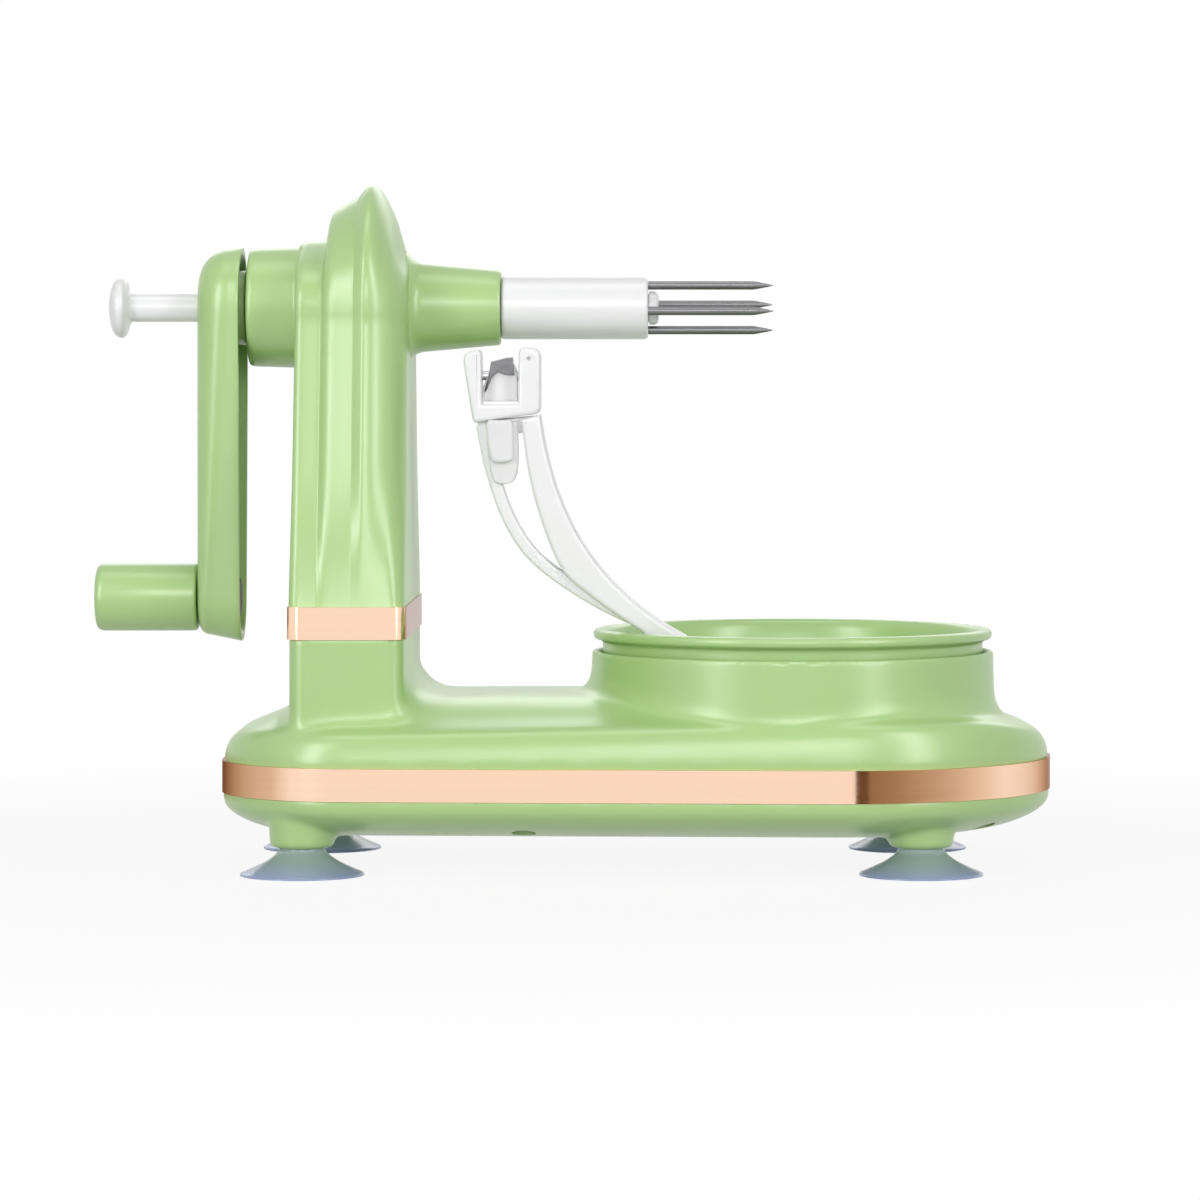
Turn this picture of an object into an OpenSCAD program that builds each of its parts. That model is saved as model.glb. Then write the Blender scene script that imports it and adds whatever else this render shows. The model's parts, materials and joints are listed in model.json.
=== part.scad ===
// Hand-cranked apple peeler. The crank turns a hollow spindle with a four-pronged fruit fork.
// A worm on the spindle drives a gear train in the base, which swings the peeling arm round the fruit.
// Frame: +X from the crank towards the dish, +Y away from the viewer, +Z up, Z = 0 on the table.

/* [Base] */
// Left end of the base
base_left_x = -92.9; // [-98:0.1:-91]
// Right end of the base
base_right_x = 128.2; // [126:0.1:134]
// Radius of the round right end, half the width of the base
base_end_r = 58; // [57:0.5:62]
// Half width of the base at its left end
base_left_half = 52; // [50:0.5:55]
// Radius of the two left corners
base_corner_r = 37; // [36:0.5:42]
// Height of the flat underside
base_floor_z = 9.8; // [9:0.1:11]
// Wall of the moulded shells
wall = 2.4; // [2:0.1:3]
// Height of the deck between column and dish
deck_z = 46; // [45:0.5:48]
// Radius of the boss above each suction cup
cup_boss_r = 8.5; // [8:0.5:10]

/* [Trim bands] */
// Height of the lower edge of the base band
band_z = 20.4; // [19:0.1:21]
// Height of each metal band
band_h = 8.5; // [7:0.1:9]
// Thickness of each metal band
band_t = 1.6; // [1.2:0.1:2]
// How far a band stands out of the plastic
band_proud = 0.4; // [0.2:0.1:0.6]
// Height of the lower edge of the column band
column_band_z = 62; // [60:0.5:64]

/* [Column] */
// X of the ridge that runs over the column head
ridge_x = -54.3; // [-55:0.1:-53.6]
// Radius of the column head round the spindle
head_r = 33.3; // [32:0.1:35]
// Half width of the column at its foot
column_half_w = 44; // [43:0.5:46]
// X of the seam between the two column shells
seam_x = -57.5; // [-58.5:0.1:-57]
// Share of its thickness that the column loses towards the head
column_draft = 0.03; // [0:0.01:0.06]
// Outer end of the crank boss on the left shell
boss_end_x = -87.3; // [-88:0.1:-86.8]
// Radius of the crank boss
boss_r = 15.9; // [14:0.1:17]
// Outer end of the cone collar on the right shell
cone_end_x = -19.5; // [-21:0.1:-18]
// Radius of the cone collar at its end
cone_end_r = 10.1; // [9.5:0.1:11]
// Radius of the cone collar at the column
cone_root_r = 11.9; // [11.5:0.1:13]

/* [Spindle and ejector] */
// Height of the spindle axis
spindle_z = 149.4; // [148:0.1:152]
// Radius of the spindle journals
journal_r = 5.2; // [5:0.1:5.4]
// Radius of the white spindle nose
nose_r = 8.5; // [8:0.1:9]
// Front face of the spindle nose
nose_end_x = 20.2; // [18:0.1:22]
// Radius of the ejector rod
rod_r = 3.8; // [3.4:0.1:3.9]
// Travel of the ejector
eject_travel = 18; // [12:0.5:18]
// Radius of the ejector knob
knob_r = 8.1; // [7:0.1:9]
// Thickness of the ejector knob
knob_t = 5.9; // [5:0.1:7]
// Radius of one fork prong
prong_r = 1.15; // [1:0.05:1.3]
// Radius of the circle on which the prongs stand
prong_circle_r = 6.1; // [6:0.1:6.6]
// Reach of the prongs in front of the nose
prong_reach = 33.8; // [28:0.1:36]
// Turn of the fork about its axis at rest
fork_turn = 7; // [0:1:45]

/* [Crank] */
// Outer face of the crank arm
arm_face_x = -100.8; // [-102:0.1:-100]
// Thickness of the crank arm
crank_t = 11.6; // [11:0.1:12]
// Radius of the crank arm at the hub
crank_hub_r = 16.2; // [15:0.1:17]
// Radius of the crank arm at the handle
crank_end_r = 11.5; // [11:0.1:13]
// Distance from the spindle axis to the handle axis
crank_throw = 78.1; // [70:0.1:85]
// Outer end of the handle grip
grip_end_x = -128.6; // [-132:0.1:-124]
// Radius of the handle grip
grip_r = 9.05; // [8:0.05:10]
// Radius of the handle pin
handle_pin_r = 3; // [2.5:0.1:3.5]

/* [Drive] */
// Module of the base gears
gear_m = 1.5; // [1.5:0.01:1.52]
// Thickness of the base gears
gear_t = 6; // [4:0.5:7]
// Height of the underside of the base gears
gear_z = 18; // [17.5:0.1:19]
// Module of the worm drive
worm_m = 1.25; // [1.2:0.01:1.3]
// Pitch radius of the worm
worm_r = 8; // [7.8:0.1:8.2]
// Length of the worm
worm_len = 17; // [14:0.5:17]
// Radius of the upright drive shaft
shaft_r = 3; // [2.5:0.1:3.2]
// Radius of the idler axles
axle_r = 2.5; // [2:0.1:3]

/* [Dish] */
// X of the dish axis
dish_x = 59.2; // [58.5:0.1:60]
// Outer radius of the dish lip
dish_r = 53.7; // [52.5:0.1:54]
// Height of the top of the dish lip
dish_top_z = 63; // [62:0.1:64]
// Height of the dish floor
dish_floor_z = 51; // [50:0.1:52]
// Outer radius of the collar at its top
collar_r = 54.1; // [53.8:0.1:54.6]
// Height of the collar top
collar_top_z = 57; // [56:0.1:58]
// Radius of the pivot under the dish
pivot_r = 4; // [3.5:0.1:4.5]

/* [Peeling arm] */
// Distance of the arm's middle plane in front of the dish axis
arm_offset = 20; // [19:0.1:21]
// Width of the arm
arm_w = 13; // [11:0.1:13.6]
// Height of the arm hinge
hinge_z = 57; // [56.5:0.1:57.5]
// Radius of the hinge pin
hinge_pin_r = 1.5; // [1.2:0.1:1.8]
// Height of the blade swivel axis
swivel_z = 131; // [130:0.1:132]

/* [Suction cups] */
// X of the left pair of cups
cup_left_x = -70.4; // [-72:0.1:-68]
// X of the right pair of cups
cup_right_x = 92; // [90:0.1:94]
// Distance of each cup's middle from the widest part of the base's side
cup_inset = 21; // [20:0.5:23]
// Radius of a cup on the table
cup_r = 16.3; // [15:0.1:17]
// Height of a cup below its boss
cup_h = 7.3; // [6.5:0.1:8]

/* [Hidden] */
$fn = 64;
green = [0.67, 0.81, 0.54];
rose_gold = [0.93, 0.73, 0.6];
white = [0.96, 0.96, 0.95];
steel = [0.66, 0.67, 0.69];
silicone = [0.74, 0.83, 0.83];
resin = [0.93, 0.91, 0.84];

// Clearances between pieces
fit = 0.1;
running = 0.05;
play = 0.4;
cut = 1;

// Seams and the groove that holds each band
band_top_z = band_z + band_h;
base_seam_z = band_z + band_h / 2;
groove = band_t - band_proud + fit;
column_seam_z = column_band_z + band_h / 2;

// Gear train: worm, 12-tooth wheel, then pinion, two idlers and the turntable gear
worm_pitch = PI * worm_m;
wheel_teeth = 12;
pinion_teeth = 18;
idler_teeth = 22;
table_teeth = 54;
wheel_r = worm_m * wheel_teeth / 2;
shaft_x = ridge_x - 2.4;
shaft_y = worm_r + wheel_r;
shaft_top_z = spindle_z + 11;
shaft_pos = [shaft_x, shaft_y];
dish_pos = [dish_x, 0];
first_gap = gear_m * (pinion_teeth + idler_teeth) / 2;
second_gap = gear_m * idler_teeth;
third_gap = gear_m * (idler_teeth + table_teeth) / 2;
first_dir = heading(shaft_pos, dish_pos);
first_idler_pos = shaft_pos + first_gap * dir(first_dir);
idler_run = norm(dish_pos - first_idler_pos);
idler_bend = acos(
    (pow(second_gap, 2) + pow(idler_run, 2) - pow(third_gap, 2)) / (2 * second_gap * idler_run)
);
second_dir = heading(first_idler_pos, dish_pos) - idler_bend;
second_idler_pos = first_idler_pos + second_gap * dir(second_dir);
third_dir = heading(second_idler_pos, dish_pos);
pinion_turn = 0;
first_turn = meshed(first_dir, pinion_turn, pinion_teeth, idler_teeth);
second_turn = meshed(second_dir, first_turn, idler_teeth, idler_teeth);
table_turn = meshed(third_dir, second_turn, idler_teeth, table_teeth);

function dir(a) = [cos(a), sin(a)];
function heading(p, q) = atan2(q.y - p.y, q.x - p.x);
function lerp(a, b, w) = a + (b - a) * w;
function smooth(w) = w <= 0 ? 0 : w >= 1 ? 1 : w * w * (3 - 2 * w);

// Turn of a gear that meshes with one turned by turn_a in the direction phi
function meshed(phi, turn_a, teeth_a, teeth_b) =
    let (phase = (phi - turn_a) * teeth_a / 360)
    phi + 180 - (0.5 - phase + floor(phase)) * 360 / teeth_b;

// Points of a cubic curve through its two end points
function bezier(p, n) = [
    for (i = [0 : n])
        let (t = i / n, s = 1 - t)
        s * s * s * p[0] + 3 * s * s * t * p[1] + 3 * s * t * t * p[2] + t * t * t * p[3]
];

function reversed(v) = [for (i = [len(v) - 1 : -1 : 0]) v[i]];
function centre(loop) = [for (k = [0 : 2]) sum([for (p = loop) p[k]]) / len(loop)];
function sum(v, i = 0) = i == len(v) ? 0 : v[i] + sum(v, i + 1);

// Closed skin through a row of loops that have the same number of points
module loft(loops) {
    n = len(loops[0]);
    m = len(loops);
    points = concat([for (l = loops) each l], [centre(loops[0]), centre(loops[m - 1])]);
    sides = [
        for (i = [0 : m - 2], k = [0 : n - 1], half = [0, 1])
            let (a = i * n + k, b = i * n + (k + 1) % n)
            half == 0 ? [a, b + n, b] : [a, a + n, b + n]
    ];
    first_cap = [for (k = [0 : n - 1]) [n * m, k, (k + 1) % n]];
    last_cap = [for (k = [0 : n - 1]) [n * m + 1, n * (m - 1) + (k + 1) % n, n * (m - 1) + k]];
    polyhedron(points, concat(sides, first_cap, last_cap));
}

// Cylinder or ring along X between two places, round the axis at y, z
module rod_x(x0, x1, r, y = 0, z = spindle_z) {
    translate([x0, y, z])
        rotate([0, 90, 0])
            cylinder(h = x1 - x0, r = r);
}

// Solid of revolution about an axis along X; points are [x, radius]
module turned_x(points, z = spindle_z) {
    translate([0, 0, z])
        rotate([0, 90, 0])
            rotate_extrude()
                polygon([for (p = points) [p[1], p[0]]]);
}

// Involute gear outline with the middle of tooth 0 on +X
function involute(a) = (tan(a) - a * PI / 180) * 180 / PI;
module gear_outline(teeth, m, addendum, dedendum, backlash) {
    r = m * teeth / 2;
    base_r = r * cos(20);
    root_r = r - dedendum;
    flank = [max(base_r, root_r + 0.1), r - 0.2 * m, r + 0.4 * addendum, r + addendum];
    half = 90 / teeth - backlash / r * 90 / PI;
    function half_at(q) = half + involute(20) - involute(acos(min(1, base_r / q)));
    tooth = concat(
        [[root_r, -half_at(flank[0])]],
        [for (q = flank) [q, -half_at(q)]],
        [for (q = reversed(flank)) [q, half_at(q)]],
        [[root_r, half_at(flank[0])]]
    );
    polygon([for (i = [0 : teeth - 1], p = tooth) p[0] * dir(i * 360 / teeth + p[1])]);
}

base_backlash = 0.3;
module base_gear(pos, teeth, turn, bore_r) {
    translate([pos.x, pos.y, gear_z])
        difference() {
            rotate([0, 0, turn])
                linear_extrude(gear_t)
                    gear_outline(teeth, gear_m, gear_m, 1.25 * gear_m, base_backlash);
            translate([0, 0, -cut])
                cylinder(h = gear_t + 2 * cut, r = bore_r);
        }
}

// Plan of the base: three corner circles [x, y, r] and the straight sides that touch them
end_circle = [base_right_x - base_end_r, 0, base_end_r];
corner_y = base_left_half - base_corner_r;
back_circle = [base_left_x + base_corner_r, corner_y, base_corner_r];
front_circle = [back_circle.x, -corner_y, base_corner_r];
side_run = [end_circle.x - back_circle.x, -corner_y];
side_normal = atan2(side_run.y, side_run.x) + acos((base_corner_r - base_end_r) / norm(side_run));
function rim_point(c, a, t) = [c.x, c.y] + (c[2] - t) * dir(a);
// Points round the plan at one inset from the rim, each with how full the deck is there: the long
// sides are fuller than the ends, and more so beside the dish than beside the column
corner_fullness = 0.35;
function fullness(a, most) = most * smooth(abs(sin(a)));
function arc_points(c, from_a, to_a, steps, t, most) = [
    for (i = [0 : steps])
        let (a = lerp(from_a, to_a, i / steps), p = rim_point(c, a, t))
        [p.x, p.y, fullness(a, most)]
];
end_steps = 30;
corner_steps = 11;
function plan_points(t) = concat(
    arc_points(end_circle, -side_normal, side_normal, end_steps, t, 1),
    arc_points(back_circle, side_normal, 180, corner_steps, t, corner_fullness),
    arc_points(front_circle, 180, 360 - side_normal, corner_steps, t, corner_fullness)
);
function level(points, z) = [for (p = points) [p.x, p.y, z]];
function plan_loop(t, z) = level(plan_points(t), z);

function flat(loop) = [for (p = loop) [p.x, p.y]];

// Solid that follows the plan; curve lists [inset from the rim, height] from the rim inwards
module plan_solid(curve, from_z) {
    last_z = curve[len(curve) - 1][1];
    loops = concat([plan_loop(curve[0][0], from_z)], [for (q = curve) plan_loop(q[0], q[1])]);
    loft(last_z > from_z ? loops : reversed(loops));
}

// Deck over the band: [inset from the rim, height at the ends, height along the fullest sides]
middle_t = 34;
deck_curve = [
    [0, band_top_z + fit, band_top_z + fit], [0.4, band_top_z + 1.6, band_top_z + 3.2],
    [1, band_top_z + 3.6, band_top_z + 6.4], [2, band_top_z + 5.6, band_top_z + 9.5],
    [3.4, band_top_z + 7, band_top_z + 11.5], [5.2, band_top_z + 8, band_top_z + 12.3],
    [8, band_top_z + 9.2, band_top_z + 12.8], [13.5, band_top_z + 11.5, band_top_z + 13.7],
    [20, deck_z - 2.5, deck_z - 1.9], [27, deck_z - 0.7, deck_z - 0.6], [middle_t, deck_z, deck_z]
];
deck_outer = concat([[groove, band_top_z + fit, band_top_z + fit]], deck_curve);
deck_inner = concat(
    [[groove + wall, band_top_z + 2, band_top_z + 2]],
    [for (i = [3 : len(deck_curve) - 2]) deck_curve[i] + [wall, -wall, -wall]],
    [[middle_t, deck_z - wall, deck_z - wall]]
);
module deck_solid(curve, from_z) {
    loft(concat(
        [plan_loop(curve[0][0], from_z)],
        [for (q = curve) [for (p = plan_points(q[0])) [p.x, p.y, lerp(q[1], q[2], p[2])]]]
    ));
}

// Rise of the underside, by inset from the rim
keel_curve = [
    [0, band_z - 2.2], [0.4, band_z - 3], [1.1, band_z - 4], [2.4, band_z - 5.2], [4.2, band_z - 6.4],
    [8, band_z - 8.2], [13, band_z - 9.6], [18, base_floor_z + 0.2], [24, base_floor_z]
];
keel_outer = concat([[groove, band_z - fit], [0, band_z - fit]], keel_curve);
keel_inner = concat(
    [[groove + wall, band_z - 2]],
    [for (i = [4 : len(keel_curve) - 1]) keel_curve[i] + [wall, wall]]
);

// Places of the six screws that hold the base together
base_screw_pos = [
    for (y = [-1, 1], p = [[base_left_x + 10, 21], [-12, 43.5], [dish_x + 49.5, 30]]) [p.x, y * p.y]
];
screw_r = 1.5;
screw_head_r = 3;
post_r = 4;
post_floor_z = base_seam_z - 4;

// Inset from the rim and fullness, and from them the deck's height, at a place near the column
function rim_place(x, y) =
    let (d = [x - back_circle.x, abs(y) - back_circle.y])
    d.x >= 0 ? [
        end_circle[2] + dir(side_normal) * ([end_circle.x, 0] - [x, abs(y)]),
        lerp(corner_fullness, 1, d.x / side_run.x)
    ]
    : d.y > 0 ? [base_corner_r - norm(d), fullness(atan2(d.y, d.x), corner_fullness)]
    : [x - base_left_x, 0];
function deck_height(x, y) =
    let (
        place = rim_place(x, y),
        at_end = lookup(place[0], [for (q = deck_curve) [q[0], q[1]]]),
        at_side = lookup(place[0], [for (q = deck_curve) [q[0], q[2]]])
    )
    lerp(at_end, at_side, place[1]);

// Foot of the column: a rounded rectangle with a fillet all round, down to the deck
foot_left_x = ridge_x - 19.4;
foot_right_x = ridge_x + 10.9;
foot_corner_r = 4;
left_fillet_r = 4;
right_fillet_r = 11;
side_fillet_r = 4.5;
foot_sink = 0.3;
// Points round the foot, each with the direction that it faces
function foot_edge(inset) =
    let (
        right = foot_right_x - foot_corner_r - inset,
        left = foot_left_x + foot_corner_r + inset,
        half_w = column_half_w - foot_corner_r - inset,
        corners = [[right, half_w], [left, half_w], [left, -half_w], [right, -half_w]]
    )
    [
        for (k = [0 : 3], i = [0 : 8])
            let (
                a = 90 * k + 18 * min(i, 5),
                c = lerp(corners[k], corners[(k + 1) % 4], max(i - 5, 0) / 4) + foot_corner_r * dir(a)
            )
            [c.x, c.y, a]
    ];
// Loop round the fillet; w goes from 0 on the deck to 1 on the wall
function foot_loop(w) = [
    for (e = foot_edge(0))
        let (
            side_r = cos(e[2]) > 0 ? right_fillet_r : left_fillet_r,
            r = min(lerp(side_fillet_r, side_r, pow(cos(e[2]), 2)), 0.6 * rim_place(e.x, e.y)[0]),
            edge = [e.x, e.y] + r * dir(e[2]),
            p = [e.x, e.y] + r * (1 - sin(90 * w)) * dir(e[2])
        )
        [p.x, p.y, deck_height(edge.x, edge.y) - foot_sink + r * (1 - cos(90 * w))]
];
module foot_skin() {
    loft(concat(
        [level(foot_loop(0), band_top_z + 1)],
        [for (k = [0 : 6]) foot_loop(k / 6)],
        [level(foot_edge(0), column_band_z - fit)]
    ));
}
module foot_hollow() {
    edge = foot_edge(groove + wall);
    loft([level(edge, base_seam_z - cut), level(edge, column_seam_z + cut)]);
}

module base_upper_shell() {
    collar_inner_r = collar_r - wall + 0.2;
    color(green)
        difference() {
            union() {
                difference() {
                    deck_solid(deck_outer, base_seam_z);
                    deck_solid(deck_inner, base_seam_z - cut);
                }
                intersection() {
                    translate([dish_x, 0, 0])
                        rotate_extrude($fn = 128)
                            polygon([
                                [collar_inner_r - 1, collar_top_z - 24],
                                [collar_r + 7.7, collar_top_z - 24],
                                [collar_r + 7.6, collar_top_z - 19.5], [collar_r + 7.1, collar_top_z - 18],
                                [collar_r + 6.2, collar_top_z - 17], [collar_r + 5, collar_top_z - 16.4],
                                [collar_r + 3.7, collar_top_z - 15.5],
                                [collar_r + 2.5, collar_top_z - 14.1],
                                [collar_r + 1.5, collar_top_z - 12.3], [collar_r + 0.8, collar_top_z - 10],
                                [collar_r + 0.2, collar_top_z - 6], [collar_r, collar_top_z - 2],
                                [collar_r - 0.5, collar_top_z - 0.6], [collar_r - 1.4, collar_top_z],
                                [collar_inner_r - 1, collar_top_z]
                            ]);
                    plan_solid([[3.3, collar_top_z + cut], [middle_t, collar_top_z + cut]], band_top_z);
                }
                foot_skin();
                translate([0, 0, column_band_z - 2 * fit])
                    foot_neck(column_seam_z - column_band_z + 2 * fit, groove);
                for (p = base_screw_pos)
                    translate([p.x, p.y, base_seam_z])
                        cylinder(h = 12, r = post_r);
            }
            translate([dish_x, 0, band_top_z])
                cylinder(h = collar_top_z, r = collar_inner_r, $fn = 128);
            foot_hollow();
            for (p = base_screw_pos)
                translate([p.x, p.y, base_seam_z - cut])
                    cylinder(h = 9 + cut, r = screw_r);
        }
}

// Straight part of the foot, drawn in by the given inset
module foot_neck(h, inset) {
    linear_extrude(h)
        foot_section(inset);
}
module foot_section(inset) {
    r = foot_corner_r;
    half_w = column_half_w - inset;
    left = foot_left_x + inset;
    right = foot_right_x - inset;
    for (x = [left + r, right - r], y = [-1, 1])
        translate([x, y * (half_w - r)])
            circle(r);
    translate([left, r - half_w])
        square([right - left, 2 * (half_w - r)]);
    translate([left + r, -half_w])
        square([right - left - 2 * r, 2 * half_w]);
}

cup_y = base_end_r - cup_inset;
cup_pos = [[cup_left_x, -cup_y], [cup_left_x, cup_y], [cup_right_x, -cup_y], [cup_right_x, cup_y]];
cup_stem_r = 4;
cup_stem_h = 4.5;
module base_lower_shell() {
    color(green)
        difference() {
            union() {
                difference() {
                    plan_solid(keel_outer, base_seam_z - fit);
                    plan_solid(keel_inner, base_seam_z + cut);
                }
                for (p = cup_pos)
                    translate([p.x, p.y, 0])
                        rotate_extrude()
                            polygon([
                                [0, cup_h], [cup_boss_r - 0.6, cup_h], [cup_boss_r, cup_h + 0.6],
                                [cup_boss_r + 0.4, base_floor_z], [cup_boss_r + 1.4, base_floor_z + 1.6],
                                [cup_boss_r + 1.4, base_floor_z + wall + 1.4],
                                [0, base_floor_z + wall + 1.4]
                            ]);
                for (p = base_screw_pos)
                    translate([p.x, p.y, socket_floor_z])
                        cylinder(h = base_seam_z - fit - socket_floor_z, r = post_r + 1.2);
                for (p = [shaft_pos, first_idler_pos, second_idler_pos, dish_pos])
                    translate([p.x, p.y, base_floor_z])
                        cylinder(h = gear_z - 0.3 - base_floor_z, r = 8);
            }
            for (p = cup_pos)
                translate([p.x, p.y, cup_h - cut])
                    cylinder(h = cup_stem_h + cut, r = cup_stem_r + fit);
            for (p = base_screw_pos) {
                translate([p.x, p.y, base_floor_z - cut])
                    cylinder(h = base_seam_z, r = screw_r + fit);
                translate([p.x, p.y, base_floor_z - cut])
                    cylinder(h = post_floor_z - base_floor_z + cut, r = screw_head_r + 2 * fit);
            }
            shaft_socket(shaft_pos, shaft_r + running);
            shaft_socket(first_idler_pos, axle_r + running);
            shaft_socket(second_idler_pos, axle_r + running);
            shaft_socket(dish_pos, pivot_r + running);
        }
}
socket_floor_z = base_floor_z + wall;
module shaft_socket(pos, r) {
    translate([pos.x, pos.y, socket_floor_z])
        cylinder(h = gear_z, r = r);
}

module base_trim_band() {
    color(rose_gold)
        translate([0, 0, band_z])
            linear_extrude(band_h)
                difference() {
                    polygon(flat(plan_loop(-band_proud, 0)));
                    polygon(flat(plan_loop(groove - fit, 0)));
                }
}

// Column: arched sections from left to right
// Each has its distance from the ridge, and its insets at the top, at the sides and at the foot
column_sections = [
    [-19.5, 17.2, 7.4, 3.2], [-18.9, 15.9, 6.1, 1.2], [-17.6, 15.5, 5.6, 0.4], [-12.4, 15.2, 5.3, 0.3],
    [-11.2, 9.6, 4.1, 0.2], [-9.6, 6.6, 3.1, 0.1], [-3.3, 3.1, 1.5, 0], [-1.2, 0.7, 0.4, 0], [0, 0, 0, 0],
    [1.4, 0.5, 0.2, 0], [2.8, 1.8, 0.7, 0], [4.8, 5.1, 1.8, 0], [6.7, 9.2, 3.2, 0],
    [8.1, 14.6, 4.9, 0.3], [9.7, 18.8, 7.4, 1.2], [10.9, 22.6, 10.8, 3.8]
];
column_thick = column_sections[len(column_sections) - 1][0] - column_sections[0][0];
// The inner skin keeps the middle of the column's thickness in place
column_mid = (column_sections[0][0] + column_sections[len(column_sections) - 1][0]) / 2;
skin_shift = -2 * column_mid / column_thick;
side_lean = atan2(column_half_w - head_r, spindle_z - column_seam_z);
side_steps = 5;
arch_steps = 16;
function column_loop(s, skin) =
    let (
        shrink = 1 - 2 * skin / column_thick,
        head_in = s[1] + skin,
        side_in = s[2] + skin,
        foot_in = s[3] + skin,
        low_z = skin > 0 ? column_seam_z - cut : column_seam_z,
        side_z = spindle_z - (head_r - side_in) * sin(side_lean),
        right_side = [
            for (k = [0 : side_steps - 1])
                let (
                    w = k / side_steps,
                    z = lerp(low_z, side_z, w),
                    inset = lerp(foot_in, side_in, smooth(w * 1.3))
                )
                [lerp(column_half_w, head_r * cos(side_lean), w) - inset, z, w]
        ],
        arch = [
            for (k = [0 : arch_steps])
                let (
                    a = lerp(-side_lean, 180 + side_lean, k / arch_steps),
                    arc_r = head_r - lerp(side_in, head_in, smooth(sin(a)))
                )
                [arc_r * cos(a), spindle_z + arc_r * sin(a), 1]
        ],
        left_side = [for (p = reversed(right_side)) [-p[0], p[1], p[2]]]
    )
    [
        for (p = concat(right_side, arch, left_side))
            [ridge_x + (s[0] - skin_shift * skin) * shrink * (1 - column_draft * p[2]), p[0], p[1]]
    ];
module column_skin(skin) {
    loft([for (s = column_sections) column_loop(s, skin)]);
}

module half_space(left) {
    size = 400;
    translate([left ? seam_x - size : seam_x, -size / 2, -size / 2])
        cube(size);
}

column_screw_pos = [[-29, 84], [29, 84], [-23, 122], [23, 122]];
column_post_r = 4;
shelf_z = spindle_z + 6;
shelf_t = 4;
shelf_y = 8;
shelf_lap = 8;
shelf_edge = 1.5;
bush_r = journal_r + 3;

module column_left_shell() {
    post_end_x = seam_x - fit;
    color(green)
        difference() {
            union() {
                difference() {
                    intersection() {
                        column_skin(0);
                        half_space(true);
                    }
                    column_skin(wall);
                }
                turned_x([
                    [boss_end_x, 0], [boss_end_x, boss_r - 1.4], [boss_end_x + 0.5, boss_r - 0.5],
                    [boss_end_x + 1.6, boss_r - 0.1], [foot_left_x + 1.5, boss_r + 0.4],
                    [foot_left_x + 4, boss_r + 0.4], [foot_left_x + 4, 0]
                ]);
                for (p = column_screw_pos)
                    rod_x(foot_left_x + wall, post_end_x, column_post_r, p.x, p.y);
                intersection() {
                    column_skin(wall / 2);
                    translate([foot_left_x, shelf_y, shelf_z])
                        cube([seam_x - foot_left_x, head_r, shelf_t]);
                }
                translate([seam_x - shelf_lap, shelf_y, shelf_z])
                    cube([
                        shaft_x + shaft_r + shelf_edge - seam_x + shelf_lap,
                        shaft_y + shaft_r + shelf_edge - shelf_y, shelf_t
                    ]);
            }
            below_column();
            rod_x(boss_end_x - cut, seam_x, bush_r + fit);
            for (p = column_screw_pos) {
                rod_x(foot_left_x - cut, seam_x, screw_r + fit, p.x, p.y);
                rod_x(foot_left_x - cut, foot_left_x + 5, screw_head_r + fit, p.x, p.y);
            }
            translate([shaft_x, shaft_y, shelf_z - cut])
                cylinder(h = shelf_t + 2 * cut, r = shaft_r + running);
            wheel_pocket();
            band_groove();
        }
}

module column_right_shell() {
    post_end_x = seam_x + fit;
    color(green)
        difference() {
            union() {
                difference() {
                    intersection() {
                        column_skin(0);
                        half_space(false);
                    }
                    column_skin(wall);
                }
                turned_x([
                    [foot_right_x - 4, 0], [foot_right_x - 4, cone_root_r + 4],
                    [foot_right_x - 0.6, cone_root_r + 2.4], [foot_right_x + 1.2, cone_root_r + 0.7],
                    [foot_right_x + 3, cone_root_r], [cone_end_x - 0.8, cone_end_r],
                    [cone_end_x, cone_end_r - 0.7], [cone_end_x, 0]
                ]);
                for (p = column_screw_pos)
                    rod_x(post_end_x, foot_right_x - wall / 2, column_post_r, p.x, p.y);
            }
            below_column();
            rod_x(foot_right_x - 5, cone_end_x + cut, bush_r + fit);
            for (p = column_screw_pos)
                rod_x(seam_x, seam_x + 9, screw_r, p.x, p.y);
            wheel_pocket();
            band_groove();
        }
}

// Pocket in both shells that the worm wheel turns in
module wheel_pocket() {
    translate([shaft_x, shaft_y, spindle_z - wheel_t / 2 - cut])
        cylinder(h = wheel_t + 2 * cut, r = wheel_r + worm_m + play);
}

// Space below the column's lower edge
module below_column() {
    translate([foot_left_x - 20, -100, 0])
        cube([60, 200, column_seam_z]);
}

// Groove for the column band, cut into the shells above and the foot below
module band_groove() {
    difference() {
        translate([foot_left_x - 20, -100, column_seam_z - cut])
            cube([60, 200, band_h / 2 + cut + fit]);
        translate([0, 0, column_seam_z - 2 * cut])
            foot_neck(band_h, groove);
    }
}

module column_trim_band() {
    color(rose_gold)
        translate([0, 0, column_band_z])
            linear_extrude(band_h)
                difference() {
                    foot_section(-band_proud);
                    foot_section(groove - fit);
                }
}

module suction_cup(pos) {
    skirt_t = 1.5;
    color(silicone)
        translate([pos.x, pos.y, 0])
            rotate_extrude()
                polygon([
                    [0, 3.6], [4.2, 3.4], [9, 1.9], [13, 0.7], [cup_r - skirt_t, 0], [cup_r, 0],
                    [cup_r, 0.5],
                    [12.6, 2.1], [9.4, 3.8], [7, 5.6], [6, cup_h - 0.4], [6, cup_h - fit],
                    [cup_stem_r, cup_h - fit],
                    [cup_stem_r, cup_h + cup_stem_h - fit], [0, cup_h + cup_stem_h - fit]
                ]);
}

module base_screws() {
    color(steel)
        for (p = base_screw_pos)
            translate([p.x, p.y, 0]) {
                translate([0, 0, post_floor_z - 2])
                    cylinder(h = 2, r = screw_head_r);
                translate([0, 0, post_floor_z - 1])
                    cylinder(h = 12, r = screw_r - running);
            }
}

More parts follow.
